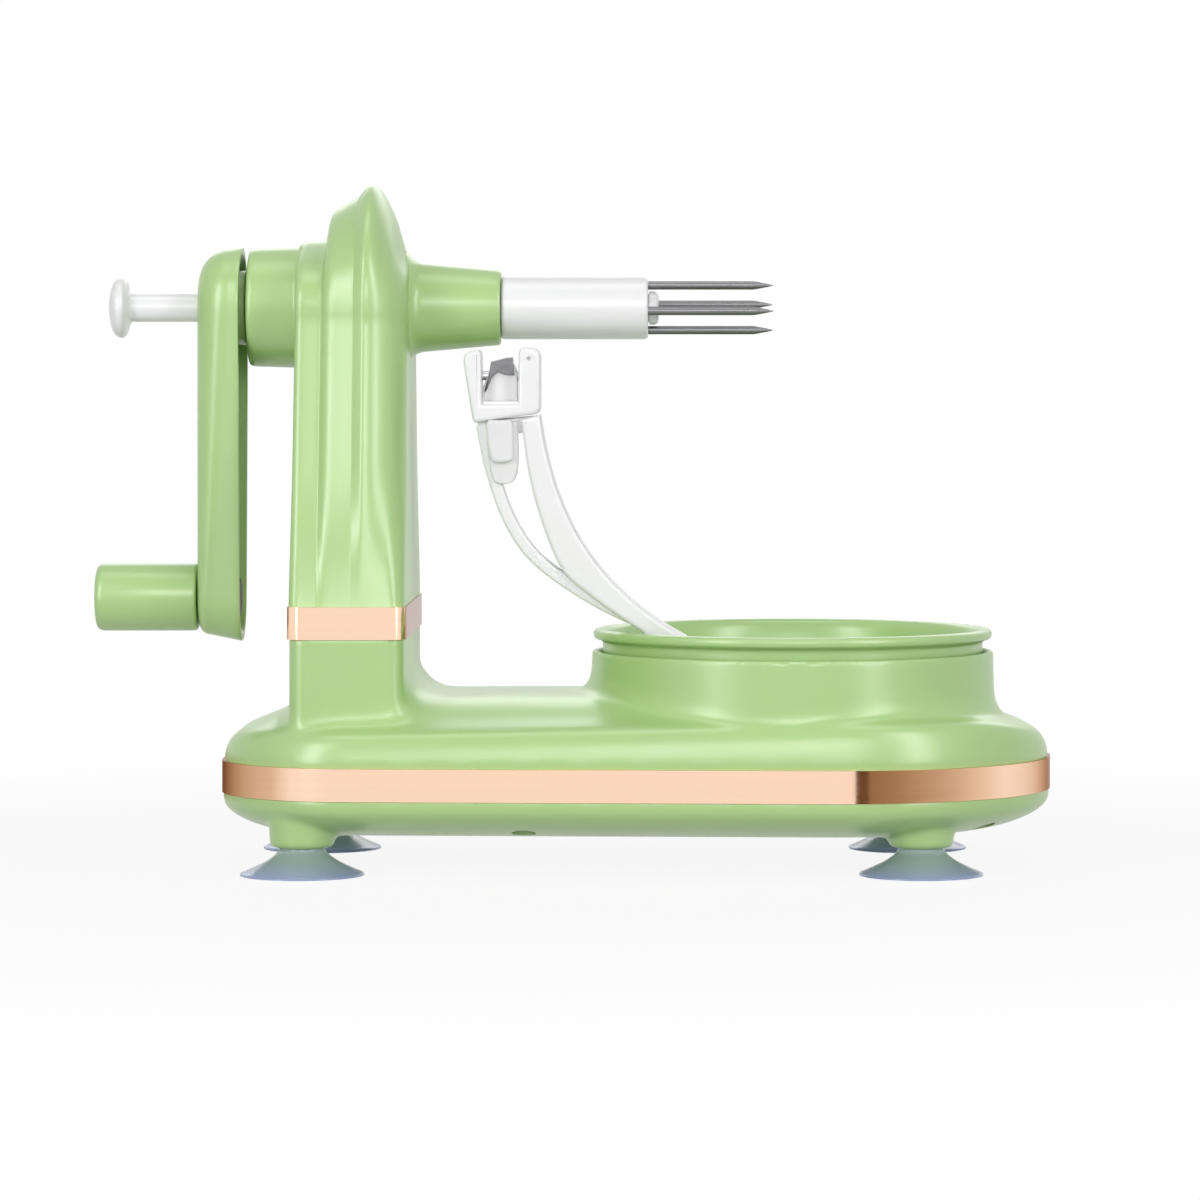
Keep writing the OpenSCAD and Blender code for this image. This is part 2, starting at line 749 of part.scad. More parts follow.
module column_screws() {
    head_x = foot_left_x + 5;
    color(steel)
        for (p = column_screw_pos) {
            rod_x(head_x - 2, head_x, screw_head_r, p.x, p.y);
            rod_x(head_x - 1, seam_x + 8, screw_r - running, p.x, p.y);
        }
}

pivot_top_z = dish_floor_z - 4;
pivot_thread = 9;
module turntable_pivot() {
    color(steel)
        difference() {
            translate([dish_x, 0, socket_floor_z])
                cylinder(h = pivot_top_z - socket_floor_z, r = pivot_r);
            translate([dish_x, 0, pivot_top_z - pivot_thread])
                cylinder(h = pivot_thread + cut, r = screw_r + running);
        }
}

axle_top_z = gear_z + gear_t + 3;
module idler_axles() {
    color(steel)
        for (p = [first_idler_pos, second_idler_pos])
            translate([p.x, p.y, socket_floor_z])
                cylinder(h = axle_top_z - socket_floor_z, r = axle_r);
}

module axle_clips() {
    color(steel)
        for (p = [first_idler_pos, second_idler_pos])
            translate([p.x, p.y, gear_z + gear_t + 0.3])
                difference() {
                    cylinder(h = 1, r = axle_r + 2.2);
                    translate([0, 0, -cut])
                        cylinder(h = 3 * cut, r = axle_r + running);
                }
}

module spindle_bush(x0, x1) {
    color(resin)
        difference() {
            rod_x(x0, x1, bush_r);
            rod_x(x0 - cut, x1 + cut, journal_r + running);
        }
}
module left_spindle_bush() {
    spindle_bush(boss_end_x, foot_left_x + 6);
}
module right_spindle_bush() {
    spindle_bush(worm_mid_x + worm_len / 2 + play, cone_end_x);
}

hub_inner_x = boss_end_x - 0.7;
nose_start_x = cone_end_x + 0.3;
rod_bore_r = rod_r + running;
set_screw_x = arm_face_x + 7;
set_screw_depth = 0.8;
module spindle() {
    color(white)
        difference() {
            turned_x([
                [arm_face_x + 2, rod_bore_r], [arm_face_x + 2, journal_r], [nose_start_x, journal_r],
                [nose_start_x, nose_r - 0.4], [nose_start_x + 0.4, nose_r], [nose_end_x - 0.7, nose_r],
                [nose_end_x, nose_r - 0.7], [nose_end_x, rod_bore_r]
            ]);
            at_prongs()
                rod_x(nose_end_x - prong_depth, nose_end_x + cut, prong_r + running, 0, 0);
            translate([set_screw_x, 0, spindle_z - journal_r - cut])
                cylinder(h = set_screw_depth + cut, r = screw_r + running);
        }
}

prong_depth = 14;
prong_taper = 5.2;
module at_prongs() {
    for (a = [0 : 90 : 270])
        translate([0, 0, spindle_z])
            rotate([a + fork_turn, 0, 0])
                translate([0, 0, prong_circle_r])
                    children();
}
module fork_prongs() {
    tip_x = nose_end_x + prong_reach;
    color(steel)
        at_prongs()
            turned_x([
                [nose_end_x - prong_depth, 0], [nose_end_x - prong_depth, prong_r],
                [tip_x - prong_taper, prong_r],
                [tip_x, 0.15], [tip_x, 0]
            ], 0);
}

// Worm: a right-handed thread on a sleeve that is pressed onto the spindle
worm_mid_x = shaft_x;
thread_add = 0.68 * worm_m;
thread_ded = 1.2 * worm_m;
thread_backlash = 0.3;
thread_steps = 20;
thread_sink = 0.6;
module spindle_worm() {
    half_base = worm_pitch / 4 - thread_backlash / 2 + tan(20) * (thread_ded + thread_sink);
    half_tip = worm_pitch / 4 - thread_backlash / 2 - tan(20) * thread_add;
    root_r = worm_r - thread_ded;
    base_r = root_r - thread_sink;
    turns = (worm_len - 2 * half_base - 1) / worm_pitch;
    steps = round(turns * thread_steps);
    thread = [
        for (i = [0 : steps])
            let (
                a = 90 + (i / steps - 0.5) * turns * 360,
                x = worm_mid_x + (i / steps - 0.5) * turns * worm_pitch,
                fade = min(1, 4 * i / thread_steps, 4 * (steps - i) / thread_steps),
                tip_r = lerp(root_r - thread_sink / 2, worm_r + thread_add, fade)
            )
            [
                for (q = [[-half_base, base_r], [-half_tip, tip_r], [half_tip, tip_r], [half_base, base_r]])
                    [x + q[0], q[1] * sin(a), spindle_z + q[1] * -cos(a)]
            ]
    ];
    color(resin)
        difference() {
            union() {
                rod_x(worm_mid_x - worm_len / 2, worm_mid_x + worm_len / 2, root_r);
                loft(reversed(thread));
            }
            rod_x(worm_mid_x - worm_len, worm_mid_x + worm_len, journal_r + running / 2);
        }
}

handle_z = spindle_z - crank_throw;
crank_inner_x = arm_face_x + crank_t;
// Crank arm: a tray between two rounded ends, open towards the column
module crank_blank(inset, face_x) {
    hub_round = 8 - inset;
    end_round = 3 - inset / 2;
    hull() {
        turned_x(rounded_end(face_x, crank_hub_r - inset, hub_round), spindle_z, $fn = 40);
        turned_x(rounded_end(face_x, crank_end_r - inset, end_round), handle_z, $fn = 32);
    }
}
function rounded_end(face_x, r, round_r) = concat(
    [[crank_inner_x, 0], [face_x, 0]],
    [for (a = [0 : 22.5 : 90]) [face_x + round_r * (1 - cos(a)), r - round_r * (1 - sin(a))]],
    [[crank_inner_x, r]]
);
module crank_arm() {
    hub_r = 10;
    color(green)
        difference() {
            union() {
                difference() {
                    crank_blank(0, arm_face_x);
                    translate([fit, 0, 0])
                        crank_blank(wall, arm_face_x + wall);
                }
                rod_x(arm_face_x + 1, hub_inner_x, hub_r);
                rod_x(arm_face_x + 1, crank_inner_x - 2, handle_pin_r + 3, 0, handle_z);
            }
            rod_x(arm_face_x + 2, hub_inner_x + cut, journal_r + running);
            rod_x(arm_face_x - cut, arm_face_x + 3, rod_r + play);
            rod_x(arm_face_x - cut, crank_inner_x, handle_pin_r + running, 0, handle_z);
            translate([set_screw_x, 0, spindle_z - hub_r - cut])
                cylinder(h = hub_r, r = screw_r + running);
        }
}

module crank_set_screw() {
    color(steel)
        translate([set_screw_x, 0, spindle_z - 9.5])
            cylinder(h = 9.5 - journal_r + set_screw_depth - running, r = screw_r);
}

grip_start_x = arm_face_x - play;
pin_depth = 14;
module handle_pin() {
    color(steel) {
        rod_x(grip_start_x - pin_depth, crank_inner_x - 2, handle_pin_r, 0, handle_z);
        rod_x(crank_inner_x - 2, crank_inner_x - 0.6, handle_pin_r + 2, 0, handle_z);
    }
}

module handle_grip() {
    bore_end_x = grip_start_x - pin_depth - 0.5;
    bore_r = handle_pin_r + running;
    color(green)
        turned_x([
            [grip_end_x, 0], [grip_end_x, grip_r - 2.2], [grip_end_x + 0.3, grip_r - 1.2],
            [grip_end_x + 0.9, grip_r - 0.4], [grip_end_x + 2, grip_r],
            [grip_start_x - 0.8, grip_r], [grip_start_x, grip_r - 0.8],
            [grip_start_x, bore_r], [bore_end_x, bore_r], [bore_end_x, 0]
        ], handle_z);
}

knob_face_x = arm_face_x - eject_travel - 0.6;
tip_start_x = nose_end_x + 0.3;
rod_spigot_r = 2;
module ejector_rod() {
    color(white) {
        rod_x(knob_face_x, tip_start_x, rod_r);
        rod_x(knob_face_x - 3, knob_face_x + cut, rod_spigot_r);
        rod_x(tip_start_x - cut, tip_start_x + 1.5, rod_spigot_r);
    }
}

module ejector_knob() {
    left_x = knob_face_x - knob_t;
    color(white)
        difference() {
            turned_x([
                [left_x, 0], [left_x + 0.3, knob_r * 0.45], [left_x + 1, knob_r * 0.78],
                [left_x + 2, knob_r * 0.95],
                [left_x + 3.1, knob_r], [left_x + 4.1, knob_r * 0.95], [left_x + 4.9, knob_r * 0.8],
                [knob_face_x - 0.4, rod_r + 1.2], [knob_face_x, rod_r + 0.5], [knob_face_x, 0]
            ]);
            rod_x(knob_face_x - 3 - fit, knob_face_x + cut, rod_spigot_r + running);
        }
}

module ejector_tip() {
    tip_r = prong_circle_r - prong_r - play;
    color(white)
        difference() {
            turned_x([
                [tip_start_x, 0], [tip_start_x, tip_r], [tip_start_x + 1.6, tip_r],
                [tip_start_x + 2.6, tip_r - 1],
                [tip_start_x + 2.6, 0]
            ]);
            rod_x(tip_start_x - cut, tip_start_x + 1.5 + fit, rod_spigot_r + running);
        }
}

module drive_shaft() {
    color(steel)
        translate([shaft_x, shaft_y, socket_floor_z])
            cylinder(h = shaft_top_z - socket_floor_z, r = shaft_r);
}

wheel_t = 4;
module worm_wheel() {
    color(resin)
        translate([shaft_x, shaft_y, spindle_z - wheel_t / 2])
            difference() {
                union() {
                    rotate([0, 0, 180 / wheel_teeth - 90])
                        linear_extrude(wheel_t)
                            gear_outline(wheel_teeth, worm_m, 0.8 * worm_m, 1.05 * worm_m, thread_backlash);
                    translate([0, 0, -6])
                        cylinder(h = 6, r = shaft_r + 1.6);
                }
                translate([0, 0, -7])
                    cylinder(h = 7 + wheel_t + cut, r = shaft_r + running / 2);
            }
}

module drive_pinion() {
    color(resin)
        base_gear(shaft_pos, pinion_teeth, pinion_turn, shaft_r + running / 2);
}
module first_idler_gear() {
    color(resin)
        base_gear(first_idler_pos, idler_teeth, first_turn, axle_r + running);
}
module second_idler_gear() {
    color(resin)
        base_gear(second_idler_pos, idler_teeth, second_turn, axle_r + running);
}

dish_hub_r = 11;
module turntable_gear() {
    color(resin)
        base_gear(dish_pos, table_teeth, table_turn, dish_hub_r + running);
}

// Dish: a shallow bowl on a hollow hub that carries the turntable gear
dish_wall_r = collar_r - wall - 0.5;
dish_t = 2.2;
ear_t = 3;
ear_y = arm_w / 2 + play;

// Arm hinge: the arm's round foot clears the inside of the dish wall
foot_r = 4;
foot_clearance = 0.617;
dish_inner_r = dish_wall_r - dish_t - 2;
foot_reach = arm_offset + arm_w / 2;
hinge_x = dish_x - sqrt(pow(dish_inner_r, 2) - pow(foot_reach, 2)) + foot_r + foot_clearance;
module turntable_dish() {
    hub_top = dish_floor_z - dish_t;
    color(green)
        difference() {
            union() {
                translate([dish_x, 0, 0])
                    rotate_extrude($fn = 128)
                        polygon([
                            [pivot_r + running, gear_z], [dish_hub_r, gear_z],
                            [dish_hub_r, gear_z + gear_t],
                            [dish_hub_r + 2, gear_z + gear_t], [dish_hub_r + 2, hub_top],
                            [dish_wall_r - 4, hub_top],
                            [dish_wall_r - 1.2, hub_top + 0.8], [dish_wall_r, hub_top + 3],
                            [dish_wall_r, dish_top_z - 4],
                            [dish_r - 0.9, dish_top_z - 3.8], [dish_r - 0.2, dish_top_z - 3],
                            [dish_r, dish_top_z - 2],
                            [dish_r - 0.3, dish_top_z - 0.9], [dish_r - 1.2, dish_top_z - 0.2],
                            [dish_r - 2.4, dish_top_z], [dish_wall_r - dish_t + 0.4, dish_top_z - 0.6],
                            [dish_wall_r - dish_t - 0.6, dish_top_z - 2.4],
                            [dish_inner_r, dish_floor_z + 4],
                            [dish_wall_r - dish_t - 5, dish_floor_z + 1.2],
                            [dish_wall_r - dish_t - 10, dish_floor_z],
                            [cap_r + fit, dish_floor_z], [cap_r + fit, pivot_top_z],
                            [pivot_r + running, pivot_top_z]
                        ]);
                for (side = [-1, 1])
                    translate([hinge_x, side * (ear_y + ear_t / 2) - arm_offset, 0])
                        hinge_ear();
            }
            hinge_hole(hinge_pin_r + running);
        }
}

// One ear of the arm hinge, standing on the dish floor
ear_r = 3.4;
module hinge_ear() {
    translate([0, ear_t / 2, hinge_z])
        rotate([90, 0, 0])
            linear_extrude(ear_t) {
                circle(ear_r);
                translate([-ear_r, dish_floor_z - hinge_z - 1])
                    square([2 * ear_r, hinge_z - dish_floor_z + 1]);
            }
}
module hinge_hole(r) {
    translate([hinge_x, -arm_offset + arm_w, hinge_z])
        rotate([90, 0, 0])
            cylinder(h = 2 * arm_w, r = r);
}

cap_r = 9;
module turntable_screw() {
    color(steel)
        translate([dish_x, 0, pivot_top_z + running]) {
            cylinder(h = 1.6, r = pivot_r + 3);
            translate([0, 0, 1 - pivot_thread])
                cylinder(h = pivot_thread, r = screw_r);
        }
}
module turntable_cap() {
    color(green)
        translate([dish_x, 0, 0])
            rotate_extrude()
                polygon([
                    [0, pivot_top_z + 1.8], [cap_r, pivot_top_z + 1.8], [cap_r, dish_floor_z + 0.4],
                    [cap_r - 0.8, dish_floor_z + 1], [0, dish_floor_z + 1.3]
                ]);
}

module arm_hinge_pin() {
    end_y = spring_start_y + spring_coils * spring_pitch + 1.2;
    length = end_y + arm_offset + ear_y + ear_t;
    color(steel)
        translate([hinge_x, end_y, hinge_z])
            rotate([90, 0, 0])
                cylinder(h = length, r = hinge_pin_r);
}

// Peeling arm: two curved rails that part above the foot, drawn in the X-Z plane
arm_left = [[-25.4, 117.4], [-22.5, 94], [-13, 80], [hinge_x - 6.5, hinge_z + 7.4]];
arm_right = [[-8.2, 120.8], [-5, 97], [4, 76], [hinge_x + 5.6, hinge_z + 4.8]];
window_left = [[-22.2, 117.2], [-19.2, 96], [-13.5, 85], [-2.6, 78.4]];
window_right = [[-14, 119.6], [-12.6, 99], [-6.5, 90], [-1.6, 79]];
arm_steps = 12;
module in_arm_plane(w) {
    translate([0, w / 2 - arm_offset, 0])
        rotate([90, 0, 0])
            linear_extrude(w)
                children();
}
module arm_outline() {
    polygon(concat(
        bezier(arm_left, arm_steps),
        [[hinge_x - foot_r, hinge_z], [hinge_x + foot_r, hinge_z]],
        reversed(bezier(arm_right, arm_steps))
    ));
    translate([hinge_x, hinge_z])
        circle(foot_r);
}
// Strip along a curve, thick towards the right of its run
module strip(curve, thick) {
    line = bezier(curve, arm_steps);
    polygon(concat(line, reversed([for (p = line) p - [thick, 0.35 * thick]])));
}
flange_t = 2;
web_w = arm_w - 4;
module peel_arm() {
    color(white)
        difference() {
            union() {
                in_arm_plane(web_w)
                    difference() {
                        arm_outline();
                        polygon(concat(
                            bezier(window_left, arm_steps),
                            reversed(bezier(window_right, arm_steps))
                        ));
                    }
                in_arm_plane(arm_w) {
                    strip(arm_right, flange_t);
                    translate([hinge_x, hinge_z])
                        circle(foot_r);
                }
            }
            hinge_hole(hinge_pin_r + running);
        }
}

// Torsion spring: coils round the free end of the hinge pin
spring_wire_r = 0.5;
spring_coil_r = 2.6;
spring_coils = 3;
spring_pitch = 1.6;
spring_rings = 8;
spring_sides = 6;
spring_start_y = -arm_offset + ear_y + ear_t + 0.8;
function spring_point(i) =
    let (a = 360 * i / spring_rings)
    [
        hinge_x + spring_coil_r * cos(a),
        spring_start_y + spring_pitch * i / spring_rings,
        hinge_z + spring_coil_r * sin(a)
    ];
spring_last = spring_coils * spring_rings;
spring_path = [for (i = [0 : spring_last]) spring_point(i)];
spring_gap = min([
    for (i = [0 : spring_last], j = [i + spring_rings / 2 : 1 : spring_last])
        norm(spring_path[i] - spring_path[j]) - 2 * spring_wire_r
]);
module arm_spring() {
    echo(spring_least_gap = spring_gap);
    color(steel)
        loft([
            for (i = [0 : spring_last])
                let (a = 360 * i / spring_rings, radial = [cos(a), 0, sin(a)])
                [
                    for (k = [0 : spring_sides - 1])
                        let (b = 360 * k / spring_sides)
                        spring_path[i] + spring_wire_r * (cos(b) * radial + sin(b) * [0, 1, 0])
                ]
        ]);
}

// Blade head: a fork-shaped guard on top of the arm, with the swivelling carrier between its two posts
guard_w = 12;
guard_gap = 0.1;
guard_left_x = -28.6;
guard_right_x = -8.2;
slot_left_x = -23.8;
slot_right_x = -14;
slot_floor_z = 123.4;
module blade_guard() {
    color(white)
        difference() {
            in_arm_plane(guard_w)
                polygon([
                    [guard_left_x, 119], [guard_left_x, 136], [guard_left_x + 0.6, 137.6],
                    [slot_left_x - 1, 138.6],
                    [slot_left_x, 138], [slot_left_x, slot_floor_z],
                    [slot_right_x, slot_floor_z], [slot_right_x, 137.6],
                    [slot_right_x + 1.2, 138.6], [guard_right_x - 1, 137.4], [guard_right_x, 135.6],
                    [guard_right_x, 120.8 + guard_gap], [-14, 119.6 + guard_gap], [-25.4, 117.4 + guard_gap]
                ]);
            rod_x(guard_left_x + 1.5, guard_right_x - 1.5, pivot_pin_r + running, -arm_offset, swivel_z);
        }
}

latch_w = 3;
module blade_latch() {
    color(white)
        in_arm_plane(latch_w)
            polygon([
                [-21.2, 117.4], [-20.2, 108], [-18.6, 103], [-15.2, 102.6], [-14, 106], [-14.3, 119.4]
            ]);
}

pivot_pin_r = 1.2;
module blade_pivot_pin() {
    color(steel)
        rod_x(guard_left_x + 1.7, guard_right_x - 1.7, pivot_pin_r, -arm_offset, swivel_z);
}

carrier_left_x = slot_left_x + 0.3;
carrier_right_x = slot_right_x - 0.3;
carrier_t = 4.4;
carrier_low_z = swivel_z - 7;
carrier_top_z = swivel_z + 4;
blade_t = 0.8;
module blade_carrier() {
    color(white)
        difference() {
            translate([carrier_left_x, -arm_offset - carrier_t / 2, carrier_low_z])
                cube([carrier_right_x - carrier_left_x, carrier_t, carrier_top_z - carrier_low_z]);
            rod_x(
                carrier_left_x - cut, carrier_right_x + cut, pivot_pin_r + running, -arm_offset, swivel_z
            );
        }
}

// Blade: a strip that stands on the carrier, with a bevelled cutting edge
module peeling_blade() {
    blade_y = -arm_offset - carrier_t / 2 - running;
    color(steel)
        translate([carrier_left_x + 0.6, 0, 0])
            rotate([90, 0, 90])
                linear_extrude(carrier_right_x - carrier_left_x - 1.2)
                    polygon([
                        [blade_y, swivel_z - 3], [blade_y, swivel_z + 5.6], [blade_y - 0.2, swivel_z + 6],
                        [blade_y - blade_t, swivel_z + 4.8], [blade_y - blade_t, swivel_z - 3]
                    ]);
}

base_upper_shell();
base_lower_shell();
base_trim_band();
column_left_shell();
column_right_shell();
column_trim_band();
suction_cup(cup_pos[0]);  // suction_cup_left_front
suction_cup(cup_pos[1]);  // suction_cup_left_back
suction_cup(cup_pos[2]);  // suction_cup_right_front
suction_cup(cup_pos[3]);  // suction_cup_right_back
base_screws();
column_screws();
turntable_pivot();
idler_axles();
axle_clips();
left_spindle_bush();
right_spindle_bush();
spindle();
spindle_worm();
fork_prongs();
crank_arm();
crank_set_screw();
handle_pin();
handle_grip();
ejector_rod();
ejector_knob();
ejector_tip();
drive_shaft();
worm_wheel();
drive_pinion();
first_idler_gear();
second_idler_gear();
turntable_dish();
turntable_gear();
turntable_screw();
turntable_cap();
arm_hinge_pin();
peel_arm();
arm_spring();
blade_guard();
blade_latch();
blade_pivot_pin();
blade_carrier();
peeling_blade();
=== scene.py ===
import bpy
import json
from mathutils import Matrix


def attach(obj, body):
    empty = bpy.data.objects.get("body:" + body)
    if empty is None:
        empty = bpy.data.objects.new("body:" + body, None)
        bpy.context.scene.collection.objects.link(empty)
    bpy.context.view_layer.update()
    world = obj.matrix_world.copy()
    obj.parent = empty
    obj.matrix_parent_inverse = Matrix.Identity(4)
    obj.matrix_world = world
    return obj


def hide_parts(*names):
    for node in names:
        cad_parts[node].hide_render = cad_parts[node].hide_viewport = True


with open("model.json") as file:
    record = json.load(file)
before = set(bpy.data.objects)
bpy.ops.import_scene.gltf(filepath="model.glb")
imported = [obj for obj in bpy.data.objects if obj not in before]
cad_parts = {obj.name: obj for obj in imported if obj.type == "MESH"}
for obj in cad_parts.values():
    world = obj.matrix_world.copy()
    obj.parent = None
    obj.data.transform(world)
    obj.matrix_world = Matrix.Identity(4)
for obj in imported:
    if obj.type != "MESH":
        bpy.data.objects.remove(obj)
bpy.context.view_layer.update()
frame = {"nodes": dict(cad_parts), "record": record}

import json
import math

import bmesh
import bpy
import numpy as np


# Base tray: the lower half of the base, moulded in green plastic with a rounded keel.
# Four bosses on its underside carry the suction cups, and six screws go up through it.
def eased(points, steps=6):
    """Smooth curve through a row of points."""
    p = np.array(points, float)
    gaps = np.sqrt(np.linalg.norm(np.diff(p, axis=0), axis=1))
    s = np.concatenate([[0], np.cumsum(gaps)])
    slope = np.gradient(p, s, axis=0)
    curve = []
    for i, gap in enumerate(gaps):
        for t in np.linspace(0, 1, steps, endpoint=False):
            curve.append(
                (1 + 2 * t) * (1 - t) ** 2 * p[i]
                + t * (1 - t) ** 2 * gap * slope[i]
                + t * t * (3 - 2 * t) * p[i + 1]
                + t * t * (t - 1) * gap * slope[i + 1]
            )
    return np.array(curve + [p[-1]])


round_end_x, round_end_r = 70.2, 58
corner_x, corner_y, corner_r = -55.9, 15, 37
side_facing = 92.74


def plan_loop(inset, z):
    """Outline of the base at one inset from its rim: a round end and two rounded corners."""
    corners = [
        ((round_end_x, 0), round_end_r, -side_facing, side_facing, 110),
        ((corner_x, corner_y), corner_r, side_facing, 180, 44),
        ((corner_x, -corner_y), corner_r, 180, 360 - side_facing, 44),
    ]
    arcs = []
    for (x, y), r, start, end, steps in corners:
        a = np.radians(np.linspace(start, end, steps + 1))
        arcs.append(np.column_stack([x + (r - inset) * np.cos(a), y + (r - inset) * np.sin(a)]))
    loop = []
    for i, steps in enumerate((48, 12, 48)):
        start, end = arcs[i][-1], arcs[(i + 1) % 3][0]
        t = np.linspace(0, 1, steps + 1)[1:-1, None]
        loop += [arcs[i], start + (end - start) * t]
    loop = np.vstack(loop)
    return np.column_stack([loop, np.full(len(loop), z)])


def cleaned(name, mesh):
    """Joins doubled points, turns the faces outward and puts the mesh into the scene."""
    shape = bmesh.new()
    shape.from_mesh(mesh)
    bmesh.ops.remove_doubles(shape, verts=shape.verts, dist=2e-6)
    bmesh.ops.recalc_face_normals(shape, faces=shape.faces)
    shape.to_mesh(mesh)
    shape.free()
    piece = bpy.data.objects.new(name, mesh)
    bpy.context.scene.collection.objects.link(piece)
    return piece


def lofted(name, loops, ring=False):
    """Closed skin through a row of loops in millimetres, capped at both ends unless it is a ring."""
    n, m = len(loops[0]), len(loops)
    faces = []
    for i in range(m if ring else m - 1):
        a, b = i * n, (i + 1) % m * n
        faces += [(a + k, a + (k + 1) % n, b + (k + 1) % n, b + k) for k in range(n)]
    if not ring:
        faces += [tuple(range(n)), tuple(range((m - 1) * n, m * n))]
    mesh = bpy.data.meshes.new(name)
    mesh.from_pydata((np.vstack(loops) / 1000).tolist(), [], faces)
    return cleaned(name, mesh)


def turned(name, profile, centre, axis="Z", steps=128, ring=False):
    """Solid of revolution; the profile lists places along the axis and radii in millimetres."""
    a = np.linspace(0, 2 * math.pi, steps, endpoint=False)
    order = {"Z": [0, 1, 2], "X": [2, 0, 1], "Y": [1, 2, 0]}[axis]
    loops = []
    for place, radius in profile:
        loop = np.column_stack([radius * np.cos(a), radius * np.sin(a), np.full(steps, place)])
        loops.append(loop[:, order] + np.array(centre))
    return lofted(name, loops, ring)


def settled(piece):
    """Makes a piece's modifiers part of its mesh."""
    bpy.context.view_layer.update()
    graph = bpy.context.evaluated_depsgraph_get()
    mesh = bpy.data.meshes.new_from_object(piece.evaluated_get(graph))
    piece.modifiers.clear()
    piece.data = mesh
    return piece


def joined(piece, others, operation="UNION"):
    """Adds other solids to a piece, or cuts them out of it."""
    for other in others:
        step = piece.modifiers.new(operation, "BOOLEAN")
        step.operation = operation
        step.solver = "MANIFOLD"
        step.object = other
        settled(piece)
        bpy.data.objects.remove(other)
    return piece


def melted(piece, voxel, passes):
    """One even skin over a joined solid, with its inner corners eased as a mould leaves them."""
    skin = piece.modifiers.new("skin", "REMESH")
    skin.mode = "VOXEL"
    skin.voxel_size = voxel / 1000
    ease = piece.modifiers.new("ease", "SMOOTH")
    ease.factor = 0.5
    ease.iterations = passes
    return settled(piece)


def shaded(piece, material, angle=40):
    """Smooth shading with crisp edges above one angle, and the piece's finish."""
    mesh = piece.data
    mesh.polygons.foreach_set("use_smooth", [True] * len(mesh.polygons))
    mesh.set_sharp_from_angle(angle=math.radians(angle))
    mesh.materials.clear()
    mesh.materials.append(material)
    return piece


def new_finish(name):
    """Empty finish: the material, its node tree, its shader and the piece's own coordinates."""
    material = bpy.data.materials.new(name)
    material.use_nodes = True
    tree = material.node_tree
    place = tree.nodes.new("ShaderNodeTexCoord").outputs["Object"]
    return material, tree, tree.nodes["Principled BSDF"], place


def patches(tree, place, scale, detail):
    """Soft uneven patches over a surface, as a share from 0 to 1."""
    texture = tree.nodes.new("ShaderNodeTexNoise")
    texture.inputs["Scale"].default_value = scale
    texture.inputs["Detail"].default_value = detail
    tree.links.new(place, texture.inputs["Vector"])
    return texture.outputs["Fac"]


def tinted(tree, share, first, second):
    """Colour that goes from the first to the second with a share."""
    tint = tree.nodes.new("ShaderNodeMix")
    tint.data_type = "RGBA"
    tint.inputs["A"].default_value = (*first, 1)
    tint.inputs["B"].default_value = (*second, 1)
    tree.links.new(share, tint.inputs["Factor"])
    return tint.outputs["Result"]


def glossed(tree, shader, share, low, high):
    """Roughness that goes from low to high with a share."""
    gloss = tree.nodes.new("ShaderNodeMapRange")
    gloss.inputs["To Min"].default_value = low
    gloss.inputs["To Max"].default_value = high
    tree.links.new(share, gloss.inputs["Value"])
    tree.links.new(gloss.outputs["Result"], shader.inputs["Roughness"])


def grained(tree, shader, height, strength, depth):
    """Fine relief of a surface, with its depth in metres."""
    bump = tree.nodes.new("ShaderNodeBump")
    bump.inputs["Strength"].default_value = strength
    bump.inputs["Distance"].default_value = depth
    tree.links.new(height, bump.inputs["Height"])
    tree.links.new(bump.outputs["Normal"], shader.inputs["Normal"])


def moulded_plastic(name, colour, roughness, grain):
    """Injection-moulded plastic: faint flow clouds in colour and gloss, and a fine mould grain."""
    material, tree, shader, place = new_finish(name)
    clouds = patches(tree, place, 38, 4)
    tint = tinted(tree, clouds, [0.985 * c for c in colour], [min(1, 1.015 * c) for c in colour])
    tree.links.new(tint, shader.inputs["Base Color"])
    glossed(tree, shader, clouds, roughness - 0.05, roughness + 0.05)
    grained(tree, shader, patches(tree, place, 1800, 2), grain, 0.00006)
    shader.inputs["IOR"].default_value = 1.54
    shader.inputs["Specular IOR Level"].default_value = 0.8
    return material


green_plastic = moulded_plastic("green_plastic", (0.375, 0.572, 0.215), 0.31, 0.1)
cup_places = [(-70.4, -37), (-70.4, 37), (92, -37), (92, 37)]
screw_places = [(-82.9, -21), (-82.9, 21), (-12, -43.5), (-12, 43.5), (108.7, -30), (108.7, 30)]
keel = eased([
    (0, 21.2), (0, 19.6), (0.05, 18.2), (0.5, 17.1), (1.3, 16.1), (2.6, 15), (4.4, 13.9), (8, 12.3), (13, 10.9),
    (18, 10.05), (24, 9.8)
])
tray_inside = eased([
    (3.7, 24.5), (3.7, 19.5), (4.2, 18), (6.2, 16.3), (10.2, 14.6), (15, 13.2), (20, 12.4), (26, 12.2)
])
tray_loops = [plan_loop(t, z) for t, z in keel[::-1]] + [plan_loop(1.3, 21.2), plan_loop(1.3, 24.5)]
tray_loops += [plan_loop(t, z) for t, z in tray_inside]
tray = lofted("base_tray", tray_loops)
cup_bosses = [
    turned("cup_boss", [(7.3, 0), (7.3, 8.2), (7.6, 8.5), (17, 8.9), (17, 0)], (x, y, 0), steps=64)
    for x, y in cup_places
]
joined(tray, cup_bosses)
screw_bores = [
    turned("screw_bore", [(5, 0), (5, 3.2), (20, 3.2), (20, 0)], (x, y, 0), steps=48)
    for x, y in screw_places
]
melted(tray, 0.8, 10)
joined(tray, screw_bores, "DIFFERENCE")
shaded(tray, green_plastic, 50)
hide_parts("base_lower_shell")
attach(tray, "base")


